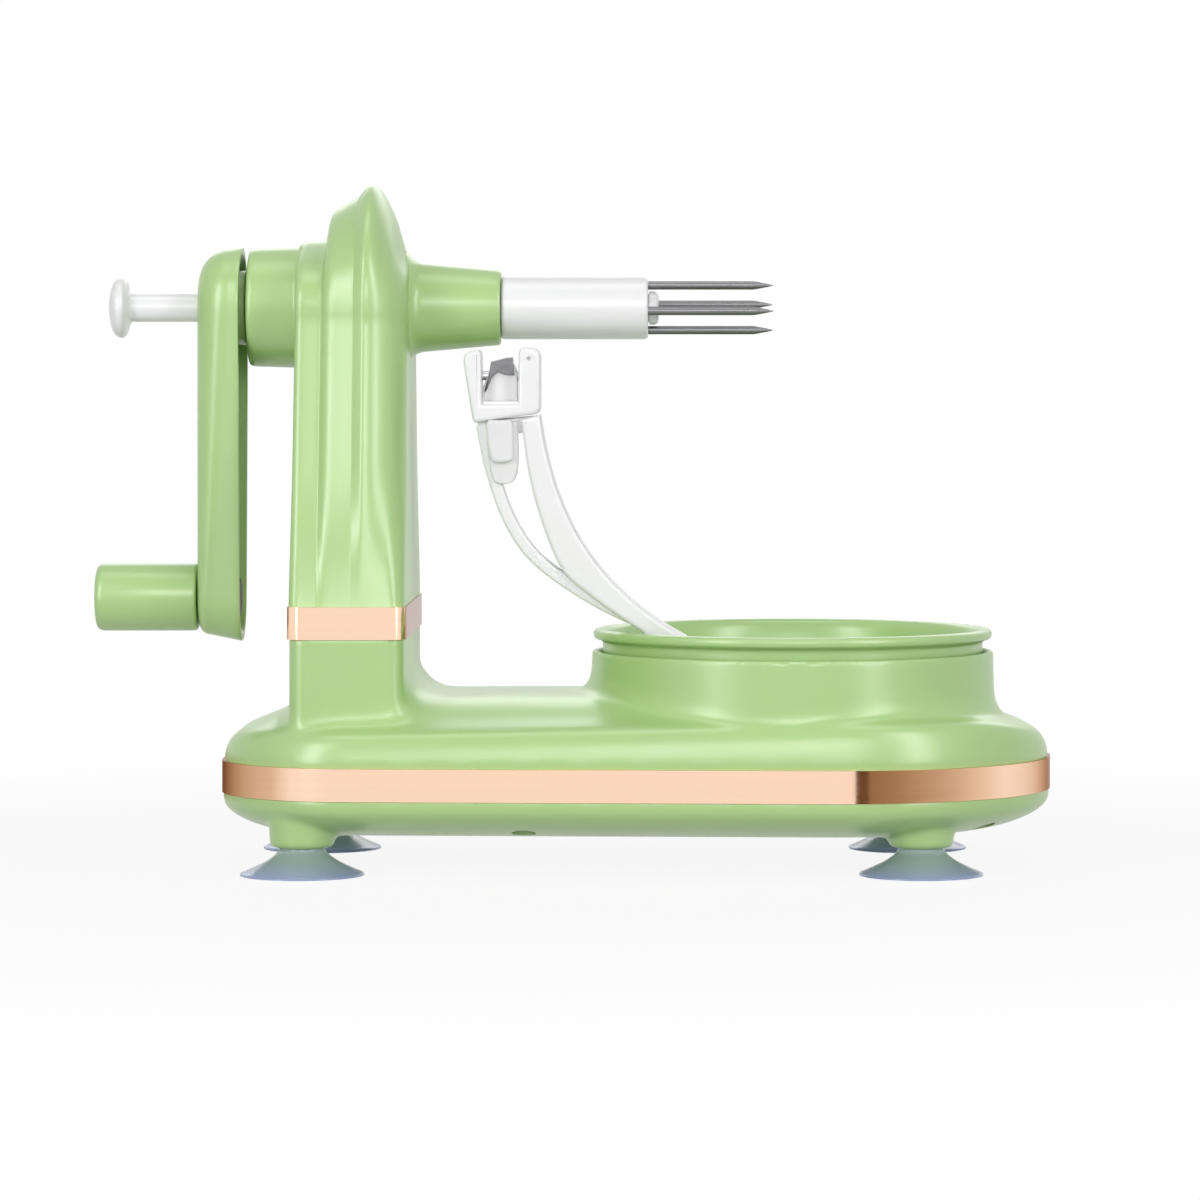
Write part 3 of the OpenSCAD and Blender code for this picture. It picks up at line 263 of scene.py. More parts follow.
# Suction cups: four bells of clear silicone, pushed with their stems into the bosses of the tray.
# The thin rims lie flat on the table.
def clear_silicone():
    """Clear silicone, greenish in the bell and bluish towards the thin rim on the table."""
    material, tree, shader, place = new_finish("clear_silicone")
    haze = patches(tree, place, 160, 3)
    tint = tinted(tree, haze, (0.50, 0.64, 0.58), (0.58, 0.70, 0.66))
    height = tree.nodes.new("ShaderNodeSeparateXYZ")
    tree.links.new(place, height.inputs["Vector"])
    near_rim = tree.nodes.new("ShaderNodeMapRange")
    near_rim.inputs["From Min"].default_value = 0.0042
    near_rim.inputs["From Max"].default_value = 0.0004
    tree.links.new(height.outputs["Z"], near_rim.inputs["Value"])
    bluish = tree.nodes.new("ShaderNodeMix")
    bluish.data_type = "RGBA"
    bluish.inputs["B"].default_value = (0.48, 0.55, 0.80, 1)
    tree.links.new(near_rim.outputs["Result"], bluish.inputs["Factor"])
    tree.links.new(tint, bluish.inputs["A"])
    tree.links.new(bluish.outputs["Result"], shader.inputs["Base Color"])
    glossed(tree, shader, haze, 0.16, 0.28)
    shader.inputs["IOR"].default_value = 1.41
    shader.inputs["Transmission Weight"].default_value = 0.55
    return material


silicone = clear_silicone()
bell_outside = eased([
    (0.0, 16.3), (0.5, 16.2), (1.1, 14.9), (2.1, 12.6), (3.6, 9.6), (5.2, 7.3), (6.4, 6.2), (7.2, 6)
], 5)
bell_inside = eased([(3.6, 0), (3.4, 4.2), (1.9, 9), (0.7, 13), (0.0, 15.2)], 5)
stem = [(7.2, 4), (11.6, 4), (11.7, 3.8), (11.7, 0)]
cup_names = ["suction_cup_left_front", "suction_cup_left_back", "suction_cup_right_front", "suction_cup_right_back"]
for cup_name, (x, y) in zip(cup_names, cup_places):
    cup = turned("clear_" + cup_name, [*bell_inside, *bell_outside, *stem], (x, y, 0), steps=96)
    shaded(cup, silicone, 60)
    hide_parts(cup_name)
    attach(cup, "base")


# Base cover: the upper half of the base in the same green plastic, one moulding with the dish's
# collar and the foot of the column. Its edges run into wide fillets.
left_fullness, side_run = 0.35, 126.1


def deck_heights(at_ends, at_sides, inset):
    """Loop round the deck at one inset; its long sides are fuller than its ends, most beside the dish."""
    loop = plan_loop(inset, 0)
    centre_x = np.clip(loop[:, 0], corner_x, round_end_x)
    centre_y = np.where(loop[:, 0] < corner_x, np.clip(loop[:, 1], -corner_y, corner_y), 0)
    facing = np.abs(np.sin(np.arctan2(loop[:, 1] - centre_y, loop[:, 0] - centre_x)))
    along_side = left_fullness + (1 - left_fullness) * (centre_x - corner_x) / side_run
    loop[:, 2] = at_ends + (at_sides - at_ends) * along_side * facing * facing * (3 - 2 * facing)
    return loop


deck_rise = eased([
    (0, 28.2, 28.2), (0, 29.2, 29.2), (0.1, 29.9, 30.6), (0.35, 30.9, 32.6), (0.9, 32.6, 35.9), (1.8, 34.4, 38.9),
    (3.1, 35.8, 40.5), (5, 36.9, 41.2), (8, 38.1, 41.7), (13.5, 40.4, 42.6), (20, 43.5, 44.1), (27, 45.3, 45.4),
    (34, 46, 46)
])
deck_inside = eased([
    (34, 43.6, 43.6), (29.4, 42.9, 43), (22.4, 41.1, 41.7), (15.9, 38, 40.2), (10.4, 35.7, 39.3), (7.6, 34.5, 38.8),
    (5.8, 33.5, 38), (4.5, 32, 35.6), (3.7, 30.4, 31), (3.7, 24.7, 24.7)
])
cover_loops = [deck_heights(ends, sides, t) for t, ends, sides in deck_inside]
cover_loops += [plan_loop(1.3, 24.7), plan_loop(1.3, 28.2)]
cover_loops += [deck_heights(ends, sides, t) for t, ends, sides in deck_rise]
cover = lofted("base_cover", cover_loops)


def rim_place(x, y):
    """Inset from the rim and fullness of the deck at one place."""
    far = math.atan2(abs(y), x - round_end_x)
    normal = math.radians(side_facing)
    if far < normal:
        facing = math.sin(far)
        return round_end_r - math.hypot(x - round_end_x, y), facing * facing * (3 - 2 * facing)
    across, along = abs(y) - corner_y, x - corner_x
    if along >= 0:
        inset = round_end_r + math.cos(normal) * (round_end_x - x) - math.sin(normal) * abs(y)
        return inset, left_fullness + (1 - left_fullness) * along / side_run
    if across > 0:
        facing = across / math.hypot(across, along)
        return corner_r - math.hypot(across, along), left_fullness * facing * facing * (3 - 2 * facing)
    return along + corner_r, 0


def flared(rows, share):
    """Fillet round an upright wall, from the deck at share 0 to the wall at share 1.

    Each row gives a place on the wall, the direction it faces and the fillet's radius there.
    """
    sunk = 0.15
    turn = math.pi / 2 * share
    loop = []
    for x, y, a, r in rows:
        inset, full = rim_place(x + r * math.cos(a), y + r * math.sin(a))
        ends, sides = (np.interp(inset, deck_rise[:, 0], deck_rise[:, k]) for k in (1, 2))
        out = r * (1 - math.sin(turn))
        z = ends + (sides - ends) * full - sunk + r * (1 - math.cos(turn))
        loop.append((x + out * math.cos(a), y + out * math.sin(a), z))
    return np.array(loop)


def levelled(loop, z):
    """The same outline at one height."""
    return np.column_stack([np.array(loop)[:, :2], np.full(len(loop), z)])


dish_x, collar_r, root_z = 59.2, 54.3, 29.5
dish_axis = (dish_x, 0, 0)
collar_rows = []
for a in np.linspace(0, 2 * math.pi, 240, endpoint=False):
    x, y = dish_x + collar_r * math.cos(a), collar_r * math.sin(a)
    right = max(0, math.cos(a))
    collar_rows.append((x, y, a, min(5.5 + 4 * right, (0.45 + 0.2 * right) * rim_place(x, y)[0])))
collar_top = [(54.1, 55), (54.05, 61)]
collar = lofted("collar", [
    levelled(flared(collar_rows, 0), root_z),
    *[flared(collar_rows, share) for share in np.linspace(0, 1, 17)],
    *[[(dish_x + r * math.cos(a), r * math.sin(a), z) for x, y, a, fillet in collar_rows] for r, z in collar_top],
])
foot_corner_r = 4


def foot_edge(inset):
    """Rounded rectangle of the foot: points and the directions that they face."""
    right, left, half = -47.4 - inset, -69.7 + inset, 40 - inset
    corners = [(right, half), (left, half), (left, -half), (right, -half)]
    rows = []
    for k in range(4):
        (x, y), (next_x, next_y) = corners[k], corners[(k + 1) % 4]
        for a in np.radians(np.linspace(90 * k, 90 * k + 90, 15)):
            out_x, out_y = foot_corner_r * math.cos(a), foot_corner_r * math.sin(a)
            rows.append((x + out_x, y + out_y, a))
        for t in np.linspace(0, 1, 25)[1:-1]:
            rows.append((x + (next_x - x) * t + out_x, y + (next_y - y) * t + out_y, a))
    return np.array(rows)


side_fillet, left_fillet, right_fillet = 6, 8, 11
foot_rows = []
for x, y, a in foot_edge(0):
    facing = math.cos(a)
    end_fillet = right_fillet if facing > 0 else left_fillet
    fillet = side_fillet + (end_fillet - side_fillet) * facing * facing
    foot_rows.append((x, y, a, min(fillet, 0.68 * rim_place(x, y)[0])))
foot = lofted("foot", [
    levelled(flared(foot_rows, 0), root_z),
    *[flared(foot_rows, share) for share in np.linspace(0, 1, 15)],
    levelled(foot_edge(0), 67),
])
joined(cover, [collar, foot])
melted(cover, 0.75, 40)
joined(cover, [
    turned("dish_well", [
        (20, 0), (20, 51.9), (56.9, 51.9), (57, 52.1), (57, 60), (70, 60), (70, 0)
    ], dish_axis, steps=192),
    lofted("foot_hollow", [levelled(foot_edge(3.7), z) for z in (20, 70)]),
    lofted("foot_top", [levelled(foot_edge(-3), z) for z in (62.4, 72)]),
], "DIFFERENCE")
melted(cover, 0.6, 5)
shaded(cover, green_plastic, 60)
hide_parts("base_upper_shell")
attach(cover, "base")


# Trim bands: two strips of rose-gold plated metal, bent round the base and round the foot of the
# column, and sprung into the groove between the shells. They are polished like a mirror.
def drawn_out(tree, place, scale):
    """Coordinates stretched along the lines that rolling, drawing or grinding leaves."""
    stretch = tree.nodes.new("ShaderNodeMapping")
    stretch.inputs["Scale"].default_value = scale
    tree.links.new(place, stretch.inputs["Vector"])
    return stretch.outputs["Vector"]


def plated_metal(name, colour, roughness):
    """Rolled strip with bright plating, and very faint lines along the strip."""
    material, tree, shader, place = new_finish(name)
    shader.inputs["Metallic"].default_value = 1
    shader.inputs["Specular Tint"].default_value = (0.4, 0.27, 0.2, 1)
    rolling = patches(tree, drawn_out(tree, place, (6, 6, 220)), 4, 5)
    tint = tinted(tree, rolling, [0.97 * c for c in colour], [min(1, 1.02 * c) for c in colour])
    tree.links.new(tint, shader.inputs["Base Color"])
    glossed(tree, shader, rolling, roughness - 0.03, roughness + 0.04)
    grained(tree, shader, rolling, 0.02, 0.0001)
    return material


rose_gold = plated_metal("rose_gold_trim", (1.0, 0.69, 0.505), 0.09)


def band_section(low_z):
    """Inset and height round a band: a strip with sheared edges."""
    back, front, high_z = 1.2, -0.4, low_z + 8.5
    return [(back, low_z), (front, low_z), (front, high_z), (back, high_z)]


base_band = lofted("rose_gold_base_band", [plan_loop(t, z) for t, z in band_section(20.4)], ring=True)
column_band = lofted("rose_gold_column_band", [levelled(foot_edge(t), z) for t, z in band_section(62)], ring=True)
for band, node in ((base_band, "base_trim_band"), (column_band, "column_trim_band")):
    shaded(band, rose_gold, 50)
    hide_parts(node)
    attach(band, "base")


# Column: two hollow shells of green plastic that meet in an upright seam beside the ridge.
# The left one has the crank's boss and four screw wells, the right one the cone round the spindle.
ridge_x, column_depth, depth_middle = -54.3, 30.4, -4.3
column_half, column_foot_z = 44, 66.25
head_r, spindle_z = 33.3, 149.4
column_sections = eased([
    (-19.5, 17.4, 7.6, 3.4), (-19.3, 16.5, 6.7, 2), (-18.8, 15.9, 6.1, 1), (-17.8, 15.6, 5.7, 0.4),
    (-15.5, 15.4, 5.5, 0.35), (-13, 15.25, 5.35, 0.3), (-12.4, 15.1, 5.25, 0.3), (-12.1, 14.4, 5.05, 0.28),
    (-11.6, 11.2, 4.5, 0.22), (-11.2, 9.3, 4.1, 0.2), (-10.7, 8.2, 3.7, 0.15), (-9.6, 6.9, 3.2, 0.1),
    (-7, 5.3, 2.5, 0.05), (-4.6, 3.9, 1.85, 0), (-3.2, 3, 1.45, 0), (-2.3, 1.85, 0.95, 0), (-1.4, 0.8, 0.45, 0),
    (-0.7, 0.2, 0.12, 0), (0, 0, 0, 0), (0.7, 0.12, 0.05, 0), (1.4, 0.5, 0.2, 0), (2.8, 1.8, 0.7, 0),
    (4.8, 5.1, 1.8, 0), (6.7, 9.2, 3.2, 0.05), (8.1, 13.6, 4.8, 0.3), (9.2, 17.3, 6.5, 0.9), (10.1, 19.8, 8.3, 1.7),
    (10.7, 21.6, 10, 2.8), (10.9, 23, 11.2, 4)
], 4)


def column_loop(section, skin):
    """Arch across the column at one distance from the ridge: two leaning sides and a round head.

    A section gives that distance and how far the head, the sides and the foot draw in there.
    """
    across, head_in, side_in, foot_in = section
    least, draft = 0.02, 0.03
    lean = math.atan2(column_half - head_r, spindle_z - column_foot_z)
    rise = np.linspace(0, 1, 40, endpoint=False)
    ease = np.clip(1.8 * rise, 0, 1)
    inset = foot_in + (side_in - foot_in) * ease * ease * (3 - 2 * ease) + skin
    half = np.maximum(column_half + (head_r * math.cos(lean) - column_half) * rise - inset, least)
    side_r = max(head_r - side_in - skin, least)
    side_z = column_foot_z + (spindle_z - side_r * math.sin(lean) - column_foot_z) * rise
    side = np.column_stack([half, side_z, rise])
    a = np.linspace(-lean, math.pi + lean, 73)
    up = np.clip(np.sin(a), 0, 1)
    arc_r = np.maximum(head_r - side_in - (head_in - side_in) * up * up * (3 - 2 * up) - skin, least)
    arch = np.column_stack([arc_r * np.cos(a), spindle_z + arc_r * np.sin(a), np.ones(73)])
    loop = np.vstack([side, arch, side[::-1] * np.array([-1, 1, 1])])
    shrink = 1 - 2 * skin / column_depth
    x = ridge_x + (across * shrink + depth_middle * (1 - shrink)) * (1 - draft * loop[:, 2])
    return np.column_stack([x, loop[:, 0], loop[:, 1]])


def half_column(name, sections):
    """One hollow shell: its outside up to the seam, then its inside back from the seam."""
    wall = 2.2
    return lofted(name, [column_loop(s, 0) for s in sections] + [column_loop(s, wall) for s in sections[::-1]])


left_cap = [(-19.5, 33.28, 33.28, 43.98), (-19.5, 30, 30, 34), (-19.5, 25, 23, 20), (-19.5, 20, 13, 9)]
left_edge = [(-3.3, 3.07, 1.5, 0), (-3.2, 3.06, 1.5, 0.05)]
right_edge = [(-3.2, 3.06, 1.5, 0.05), (-3.1, 2.9, 1.4, 0)]
right_cap = [(10.9, 25, 16, 9), (10.9, 28, 22, 20), (10.9, 31, 28, 34), (10.9, 33.28, 33.28, 43.98)]
left_part = [tuple(s) for s in column_sections if s[0] < -3.4]
right_part = [tuple(s) for s in column_sections if s[0] > -3]
left_shell = half_column("column_left", left_cap + left_part + left_edge)
right_shell = half_column("column_right", (right_edge + right_part + right_cap)[::-1])
spindle_axis = (0, 0, spindle_z)
boss = turned("crank_boss", [
    (-87.3, 6), (-87.3, 14.6), (-87.2, 15.1), (-86.9, 15.5), (-86.3, 15.75), (-85.4, 15.85), (-74.6, 16.2),
    (-74, 16.35), (-73.5, 16.8), (-73.2, 17.4), (-70.4, 17.4), (-70.4, 6)
], spindle_axis, "X", 128, ring=True)
joined(left_shell, [boss])
well_places = [(-29, 84), (29, 84), (-23, 122), (23, 122)]
joined(left_shell, [
    turned("bush_bore", [(-90, 0), (-90, 8.3), (-66, 8.3), (-66, 0)], spindle_axis, "X", 96),
    *[
        turned("screw_well", [(-80, 0), (-80, 3.1), (-68.6, 3.1), (-68.6, 0)], (0, y, z), "X", 48)
        for y, z in well_places
    ],
], "DIFFERENCE")
cone = turned("spindle_cone", [
    (-47, 6), (-47, 14.8), (-44.6, 14.6), (-43.6, 13.8), (-43, 13.1), (-42.2, 12.5), (-41.2, 12.1), (-40, 11.9),
    (-30, 11), (-20.6, 10.15), (-20, 10.02), (-19.65, 9.8), (-19.5, 9.4), (-19.5, 6)
], spindle_axis, "X", 128, ring=True)
joined(right_shell, [cone])
joined(right_shell, [
    turned("nose_bore", [(-52, 0), (-52, 8.3), (-18, 8.3), (-18, 0)], spindle_axis, "X", 96)
], "DIFFERENCE")
for shell, node in ((left_shell, "column_left_shell"), (right_shell, "column_right_shell")):
    shaded(shell, green_plastic, 32)
    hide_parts(node)
    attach(shell, "base")


# Screws: plated steel with cross-recessed pan heads, six up through the tray into the cover and
# four through the left column shell into the right one.
def drawn_steel(name, colour, roughness, along):
    """Drawn or ground steel with fine lines in one direction."""
    material, tree, shader, place = new_finish(name)
    shader.inputs["Metallic"].default_value = 1
    lines = patches(tree, drawn_out(tree, place, along), 3, 6)
    tint = tinted(tree, lines, [0.72 * c for c in colour], [min(1, 1.22 * c) for c in colour])
    tree.links.new(tint, shader.inputs["Base Color"])
    glossed(tree, shader, lines, roughness - 0.08, roughness + 0.12)
    grained(tree, shader, lines, 0.15, 0.0001)
    return material


screw_steel = drawn_steel("screw_steel", (0.5, 0.5, 0.51), 0.32, (60, 60, 60))


def gathered(parts):
    """Puts like parts that don't touch into the mesh of the first."""
    whole = parts[0]
    shape = bmesh.new()
    for part in parts:
        shape.from_mesh(part.data)
    for part in parts[1:]:
        bpy.data.objects.remove(part)
    shape.to_mesh(whole.data)
    shape.free()
    return whole


def screw_set(name, places, head, length, axis):
    """Like screws at several places, as one piece; head is the place of the head's underside."""
    profile = [
        (-2, 0), (-2, 1.6), (-1.8, 2.3), (-1.3, 2.8), (-0.6, 2.98), (0, 3), (0, 1.45), (length - 1, 1.45),
        (length, 0.6), (length, 0)
    ]
    order = {"Z": [0, 1, 2], "X": [2, 0, 1]}[axis]
    parts = []
    for place in places:
        part = turned(name, [(head + p, r) for p, r in profile], place, axis, 40)
        slots = []
        for w, h in ((3.4, 0.7), (0.7, 3.4)):
            corners = np.array([(-w, -h), (w, -h), (w, h), (-w, h)]) / 2
            slots.append(lofted(name, [
                np.column_stack([corners, np.full(4, head + p)])[:, order] + np.array(place) for p in (-3, -1.1)
            ]))
        parts.append(joined(part, slots, "DIFFERENCE"))
    return gathered(parts)


base_screw_set = screw_set("base_screw_set", [(x, y, 0) for x, y in screw_places], 20.65, 11, "Z")
column_screw_set = screw_set("column_screw_set", [(0, y, z) for y, z in well_places], -68.7, 19, "X")
for screws, node in ((base_screw_set, "base_screws"), (column_screw_set, "column_screws")):
    shaded(screws, screw_steel, 35)
    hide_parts(node)
    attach(screws, "base")


# Spindle and fork: a hollow white plastic spindle runs in the two bushes and ends in a thick nose.
# Four ground steel prongs are moulded into the nose and hold the fruit.
white_plastic = moulded_plastic("white_plastic", (0.79, 0.79, 0.797), 0.3, 0.08)
nose = turned("white_spindle", [
    (-98.8, 3.85), (-98.8, 5.2), (-19.2, 5.2), (-19.2, 8.1), (-19.1, 8.3), (-18.8, 8.45), (-18.3, 8.5), (18.9, 8.5),
    (19.6, 8.42), (20, 8.2), (20.2, 7.8), (20.2, 3.85)
], spindle_axis, "X", 128, ring=True)
shaded(nose, white_plastic, 40)
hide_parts("spindle")
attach(nose, "crank")
prong_steel = drawn_steel("prong_steel", (0.2, 0.2, 0.205), 0.36, (18, 420, 420))
prong_circle_r, prong_turn = 6.1, 9
prong_parts = []
for turn in np.radians(prong_turn + np.arange(0, 360, 90)):
    place = (0, -prong_circle_r * math.sin(turn), spindle_z + prong_circle_r * math.cos(turn))
    prong_parts.append(turned("fork", [
        (6.2, 0), (6.2, 1.15), (48.4, 1.15), (49, 1.1), (50.5, 0.82), (52.4, 0.45), (53.7, 0.16), (54, 0)
    ], place, "X", 40))
fork = gathered(prong_parts)
fork.name = "steel_fork"
shaded(fork, prong_steel, 40)
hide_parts("fork_prongs")
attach(fork, "crank")


# Ejector: a white plastic push rod through the hollow spindle, with a lens-shaped knob on its
# outer end and a small pusher disc between the prongs.
rod = turned("ejector_push_rod", [
    (-122.4, 0), (-122.4, 2), (-119.4, 2), (-119.4, 3.8), (20.5, 3.8), (20.5, 2), (22, 2), (22, 0)
], spindle_axis, "X", 72)
knob = turned("ejector_button", eased([
    (-125.3, 0), (-125.25, 1.6), (-125, 3.6), (-124.4, 5.9), (-123.5, 7.4), (-122.4, 8.05), (-121.6, 8.05),
    (-120.7, 7.4), (-120.1, 6), (-119.8, 4.8), (-119.4, 4.1), (-119.35, 3)
], 5).tolist() + [(-119.35, 2.05), (-122.5, 2.05), (-122.5, 0)], spindle_axis, "X", 96)
pusher = turned("ejector_pusher", [
    (20.5, 2.05), (20.5, 4.35), (20.6, 4.5), (21.9, 4.55), (22.5, 4.3), (22.9, 3.8), (23.1, 3), (23.1, 0),
    (22.1, 0), (22.1, 2.05)
], spindle_axis, "X", 72)
for piece, node in ((rod, "ejector_rod"), (knob, "ejector_knob"), (pusher, "ejector_tip")):
    shaded(piece, white_plastic, 45)
    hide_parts(node)
    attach(piece, "ejector")


# Crank: a tray-shaped arm of green plastic, open towards the column, with a hub for the spindle.
# Its outer edge is well rounded at the hub and less so at the handle; the walls have draft.
crank_throw, handle_z = 78.1, 71.3
handle_axis = (0, 0, handle_z)


def crank_loop(hub_x, hub_r, end_x, end_r):
    """Outline of the crank: a round hub, a smaller round end and straight sides between them."""
    lean = math.asin((hub_r - end_r) / crank_throw)
    a = np.linspace(-lean, math.pi + lean, 73)
    b = np.linspace(math.pi + lean, 2 * math.pi - lean, 57)
    top = np.column_stack([np.full(73, hub_x), hub_r * np.cos(a), spindle_z + hub_r * np.sin(a)])
    bottom = np.column_stack([np.full(57, end_x), end_r * np.cos(b), handle_z + end_r * np.sin(b)])
    t = np.linspace(0, 1, 30)[1:-1, None]
    down = top[-1] + (bottom[0] - top[-1]) * t
    up = bottom[-1] + (top[0] - bottom[-1]) * t
    return np.vstack([top, down, bottom, up])


crank_inside = [
    (-98.3, 11, 6.8), (-98.1, 12, 7.6), (-97.4, 12.7, 8.2), (-96.4, 13, 8.5), (-89.5, 14.3, 9.7),
    (-89.25, 14.45, 9.85), (-89.2, 14.7, 10.1), (-89.2, 16, 11.5), (-89.25, 16.2, 11.7), (-89.5, 16.3, 11.8)
]
crank_rings = [crank_loop(x, hub_r, x, end_r) for x, hub_r, end_r in crank_inside]
for share in np.linspace(0.2, 0.8, 3):
    crank_rings.append(crank_loop(-89.5 - share * 2.8, 16.3 - share * 0.5, -89.5 - share * 8.2, 11.8 - share * 1.7))
crank_face_x, hub_round, end_round = -100.8, 8.5, 3.1
for a in np.radians(np.linspace(90, 0, 15)):
    crank_rings.append(crank_loop(
        crank_face_x + hub_round * (1 - math.cos(a)), 15.8 - hub_round * (1 - math.sin(a)),
        crank_face_x + end_round * (1 - math.cos(a)), 10.1 - end_round * (1 - math.sin(a)),
    ))
crank = lofted("crank_lever", crank_rings)
joined(crank, [
    turned("crank_hub", [
        (-99.4, 0), (-99.4, 10), (-88.4, 10), (-88.1, 9.8), (-88, 9.5), (-88, 0)
    ], spindle_axis, "X", 96),
    turned("handle_seat", [(-99.4, 0), (-99.4, 6), (-91.3, 6), (-91.2, 5.8), (-91.2, 0)], handle_axis, "X", 64),
])
joined(crank, [
    turned("spindle_bore", [(-98.8, 0), (-98.8, 5.25), (-80, 5.25), (-80, 0)], spindle_axis, "X", 72),
    turned("rod_hole", [(-110, 0), (-110, 4.2), (-97, 4.2), (-97, 0)], spindle_axis, "X", 72),
    turned("pin_hole", [(-110, 0), (-110, 3.05), (-80, 3.05), (-80, 0)], handle_axis, "X", 48),
], "DIFFERENCE")
shaded(crank, green_plastic, 38)
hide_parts("crank_arm")
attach(crank, "crank")


# Handle: a plain barrel of green plastic with a rounded outer end. It turns freely on a steel pin
# that is fixed in the end of the crank.
grip = turned("handle_barrel", [
    (-115.6, 0), (-115.6, 3.05), (-101.2, 3.05), (-101.2, 8.2), (-101.3, 8.6), (-101.6, 8.9), (-102.1, 9.05),
    (-126.4, 9.05), (-127.3, 8.9), (-128, 8.5), (-128.4, 7.9), (-128.57, 7.1), (-128.6, 6), (-128.6, 0)
], handle_axis, "X", 112)
shaded(grip, green_plastic, 40)
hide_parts("handle_grip")
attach(grip, "handle")


# Dish: a shallow round bowl of green plastic with a rolled lip, which catches the peel and turns
# with the gear under it. Two ears on its floor carry the hinge pin of the arm.
lip = eased([
    (58.6, 51.2), (59.3, 51.3), (59.8, 51.7), (60.1, 52.5), (60.4, 53.2), (60.9, 53.6), (61.6, 53.7), (62.2, 53.55),
    (62.7, 53), (62.95, 52.1), (62.9, 51.1), (62.4, 50.1), (61.3, 49.3), (59.5, 48.6), (57, 47.9), (55, 47.1),
    (53.2, 45.7), (52, 43.6), (51.3, 41), (51, 38)
], 5)
dish = turned("peel_dish", [
    (18, 4.1), (18, 11), (24, 11), (24, 13), (48.8, 13), (48.8, 47), (49.3, 49.2), (50.4, 50.6), (52, 51.2),
    (58.3, 51.2), *lip, (51, 9.15), (47, 9.15), (47, 4.1)
], dish_axis, steps=192, ring=True)
hinge_x, hinge_z = 25, 57
hinge_axis = (hinge_x, 0, hinge_z)


def ear_loop(y, r):
    """Outline of a hinge ear: a round top on two upright sides that go down into the floor."""
    a = np.linspace(0, math.pi, 33)
    x = np.concatenate([hinge_x + r * np.cos(a), [hinge_x - r, hinge_x + r]])
    z = np.concatenate([hinge_z + r * np.sin(a), [50.2, 50.2]])
    return np.column_stack([x, np.full(35, y), z])


ear_sections = [(0, 3), (0.12, 3.28), (0.4, 3.4), (2.6, 3.4), (2.88, 3.28), (3, 3)]
joined(dish, [lofted("ear", [ear_loop(y + d, r) for d, r in ear_sections]) for y in (-29.9, -13.1)])
joined(dish, [turned("pin_bore", [(-34, 0), (-34, 1.55), (-8, 1.55), (-8, 0)], hinge_axis, "Y", 40)], "DIFFERENCE")
cap = turned("dish_cap", [
    (48.8, 0), (48.8, 9), (51.2, 9), (51.5, 8.85), (51.75, 8.5), (51.9, 7.9), (52.1, 6), (52.25, 3), (52.3, 0)
], dish_axis, steps=96)
for piece, node in ((dish, "turntable_dish"), (cap, "turntable_cap")):
    shaded(piece, green_plastic, 38)
    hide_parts(node)
    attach(piece, "turntable")


# Hinge of the arm: a steel pin through the two ears, with a small wound spring of steel wire on
# its free end.
hinge_pin = turned("hinge_pin", [
    (-29.9, 0), (-29.9, 1.2), (-29.6, 1.5), (-3.6, 1.5), (-3.3, 1.2), (-3.3, 0)
], hinge_axis, "Y", 40)
shaded(hinge_pin, screw_steel, 40)
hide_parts("arm_hinge_pin")
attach(hinge_pin, "turntable")
wire_r, coil_r, coil_pitch, coil_start_y, coil_turns, turn_steps = 0.5, 2.6, 1.6, -9.3, 3, 48
coil_path = bpy.data.curves.new("hinge_spring", "CURVE")
coil_path.dimensions = "3D"
coil_path.bevel_depth = wire_r / 1000
coil_path.bevel_resolution = 4
coil_path.use_fill_caps = True
coil = coil_path.splines.new("POLY")
coil.points.add(coil_turns * turn_steps)
for i, point in enumerate(coil.points):
    turns = i / turn_steps
    a = 2 * math.pi * turns
    x, y, z = hinge_x + coil_r * math.cos(a), coil_start_y + coil_pitch * turns, hinge_z + coil_r * math.sin(a)
    point.co = (x / 1000, y / 1000, z / 1000, 1)
coil_draft = bpy.data.objects.new("coil_draft", coil_path)
bpy.context.scene.collection.objects.link(coil_draft)
bpy.context.view_layer.update()
coil_mesh = bpy.data.meshes.new_from_object(coil_draft.evaluated_get(bpy.context.evaluated_depsgraph_get()))
bpy.data.objects.remove(coil_draft)
spring = cleaned("hinge_spring", coil_mesh)
shaded(spring, screw_steel, 50)
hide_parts("arm_spring")
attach(spring, "turntable")


# Peeling arm: white plastic, curved from the hinge up to the fork. Two rails part above the foot
# round a long window, and a flange runs along the inner edge.
def plate(name, outline, front_y, back_y, edge):
    """Flat piece with rounded edges, from an outline in X and Z; a narrow border keeps its faces flat."""
    border = 0.25
    p = np.array(outline, float)
    if np.sum(p[:, 0] * np.roll(p[:, 1], -1) - p[:, 1] * np.roll(p[:, 0], -1)) < 0:
        p = p[::-1]
    along = np.roll(p, -1, axis=0) - p
    along /= np.linalg.norm(along, axis=1)[:, None]
    after = np.column_stack([-along[:, 1], along[:, 0]])
    before = np.roll(after, 1, axis=0)
    inward = (before + after) / (1 + np.sum(before * after, axis=1))[:, None]
    round_over = np.radians(np.linspace(0, 90, 6))
    steps = [(edge + border, 0)] + [(edge * (1 - math.sin(a)), edge * (1 - math.cos(a))) for a in round_over]
    rows = [(d, front_y + y) for d, y in steps] + [(d, back_y - y) for d, y in steps[::-1]]
    loops = []
    for d, y in rows:
        q = p + inward * d
        loops.append(np.column_stack([q[:, 0], np.full(len(q), y), q[:, 1]]))
    return lofted(name, loops)


def bezier(points, steps=28):
    """Curve from the first point to the last, drawn towards the two between them."""
    a, b, c, d = (np.array(p, float) for p in points)
    t = np.linspace(0, 1, steps + 1)[:, None]
    return (1 - t) ** 3 * a + 3 * (1 - t) ** 2 * t * b + 3 * (1 - t) * t * t * c + t ** 3 * d


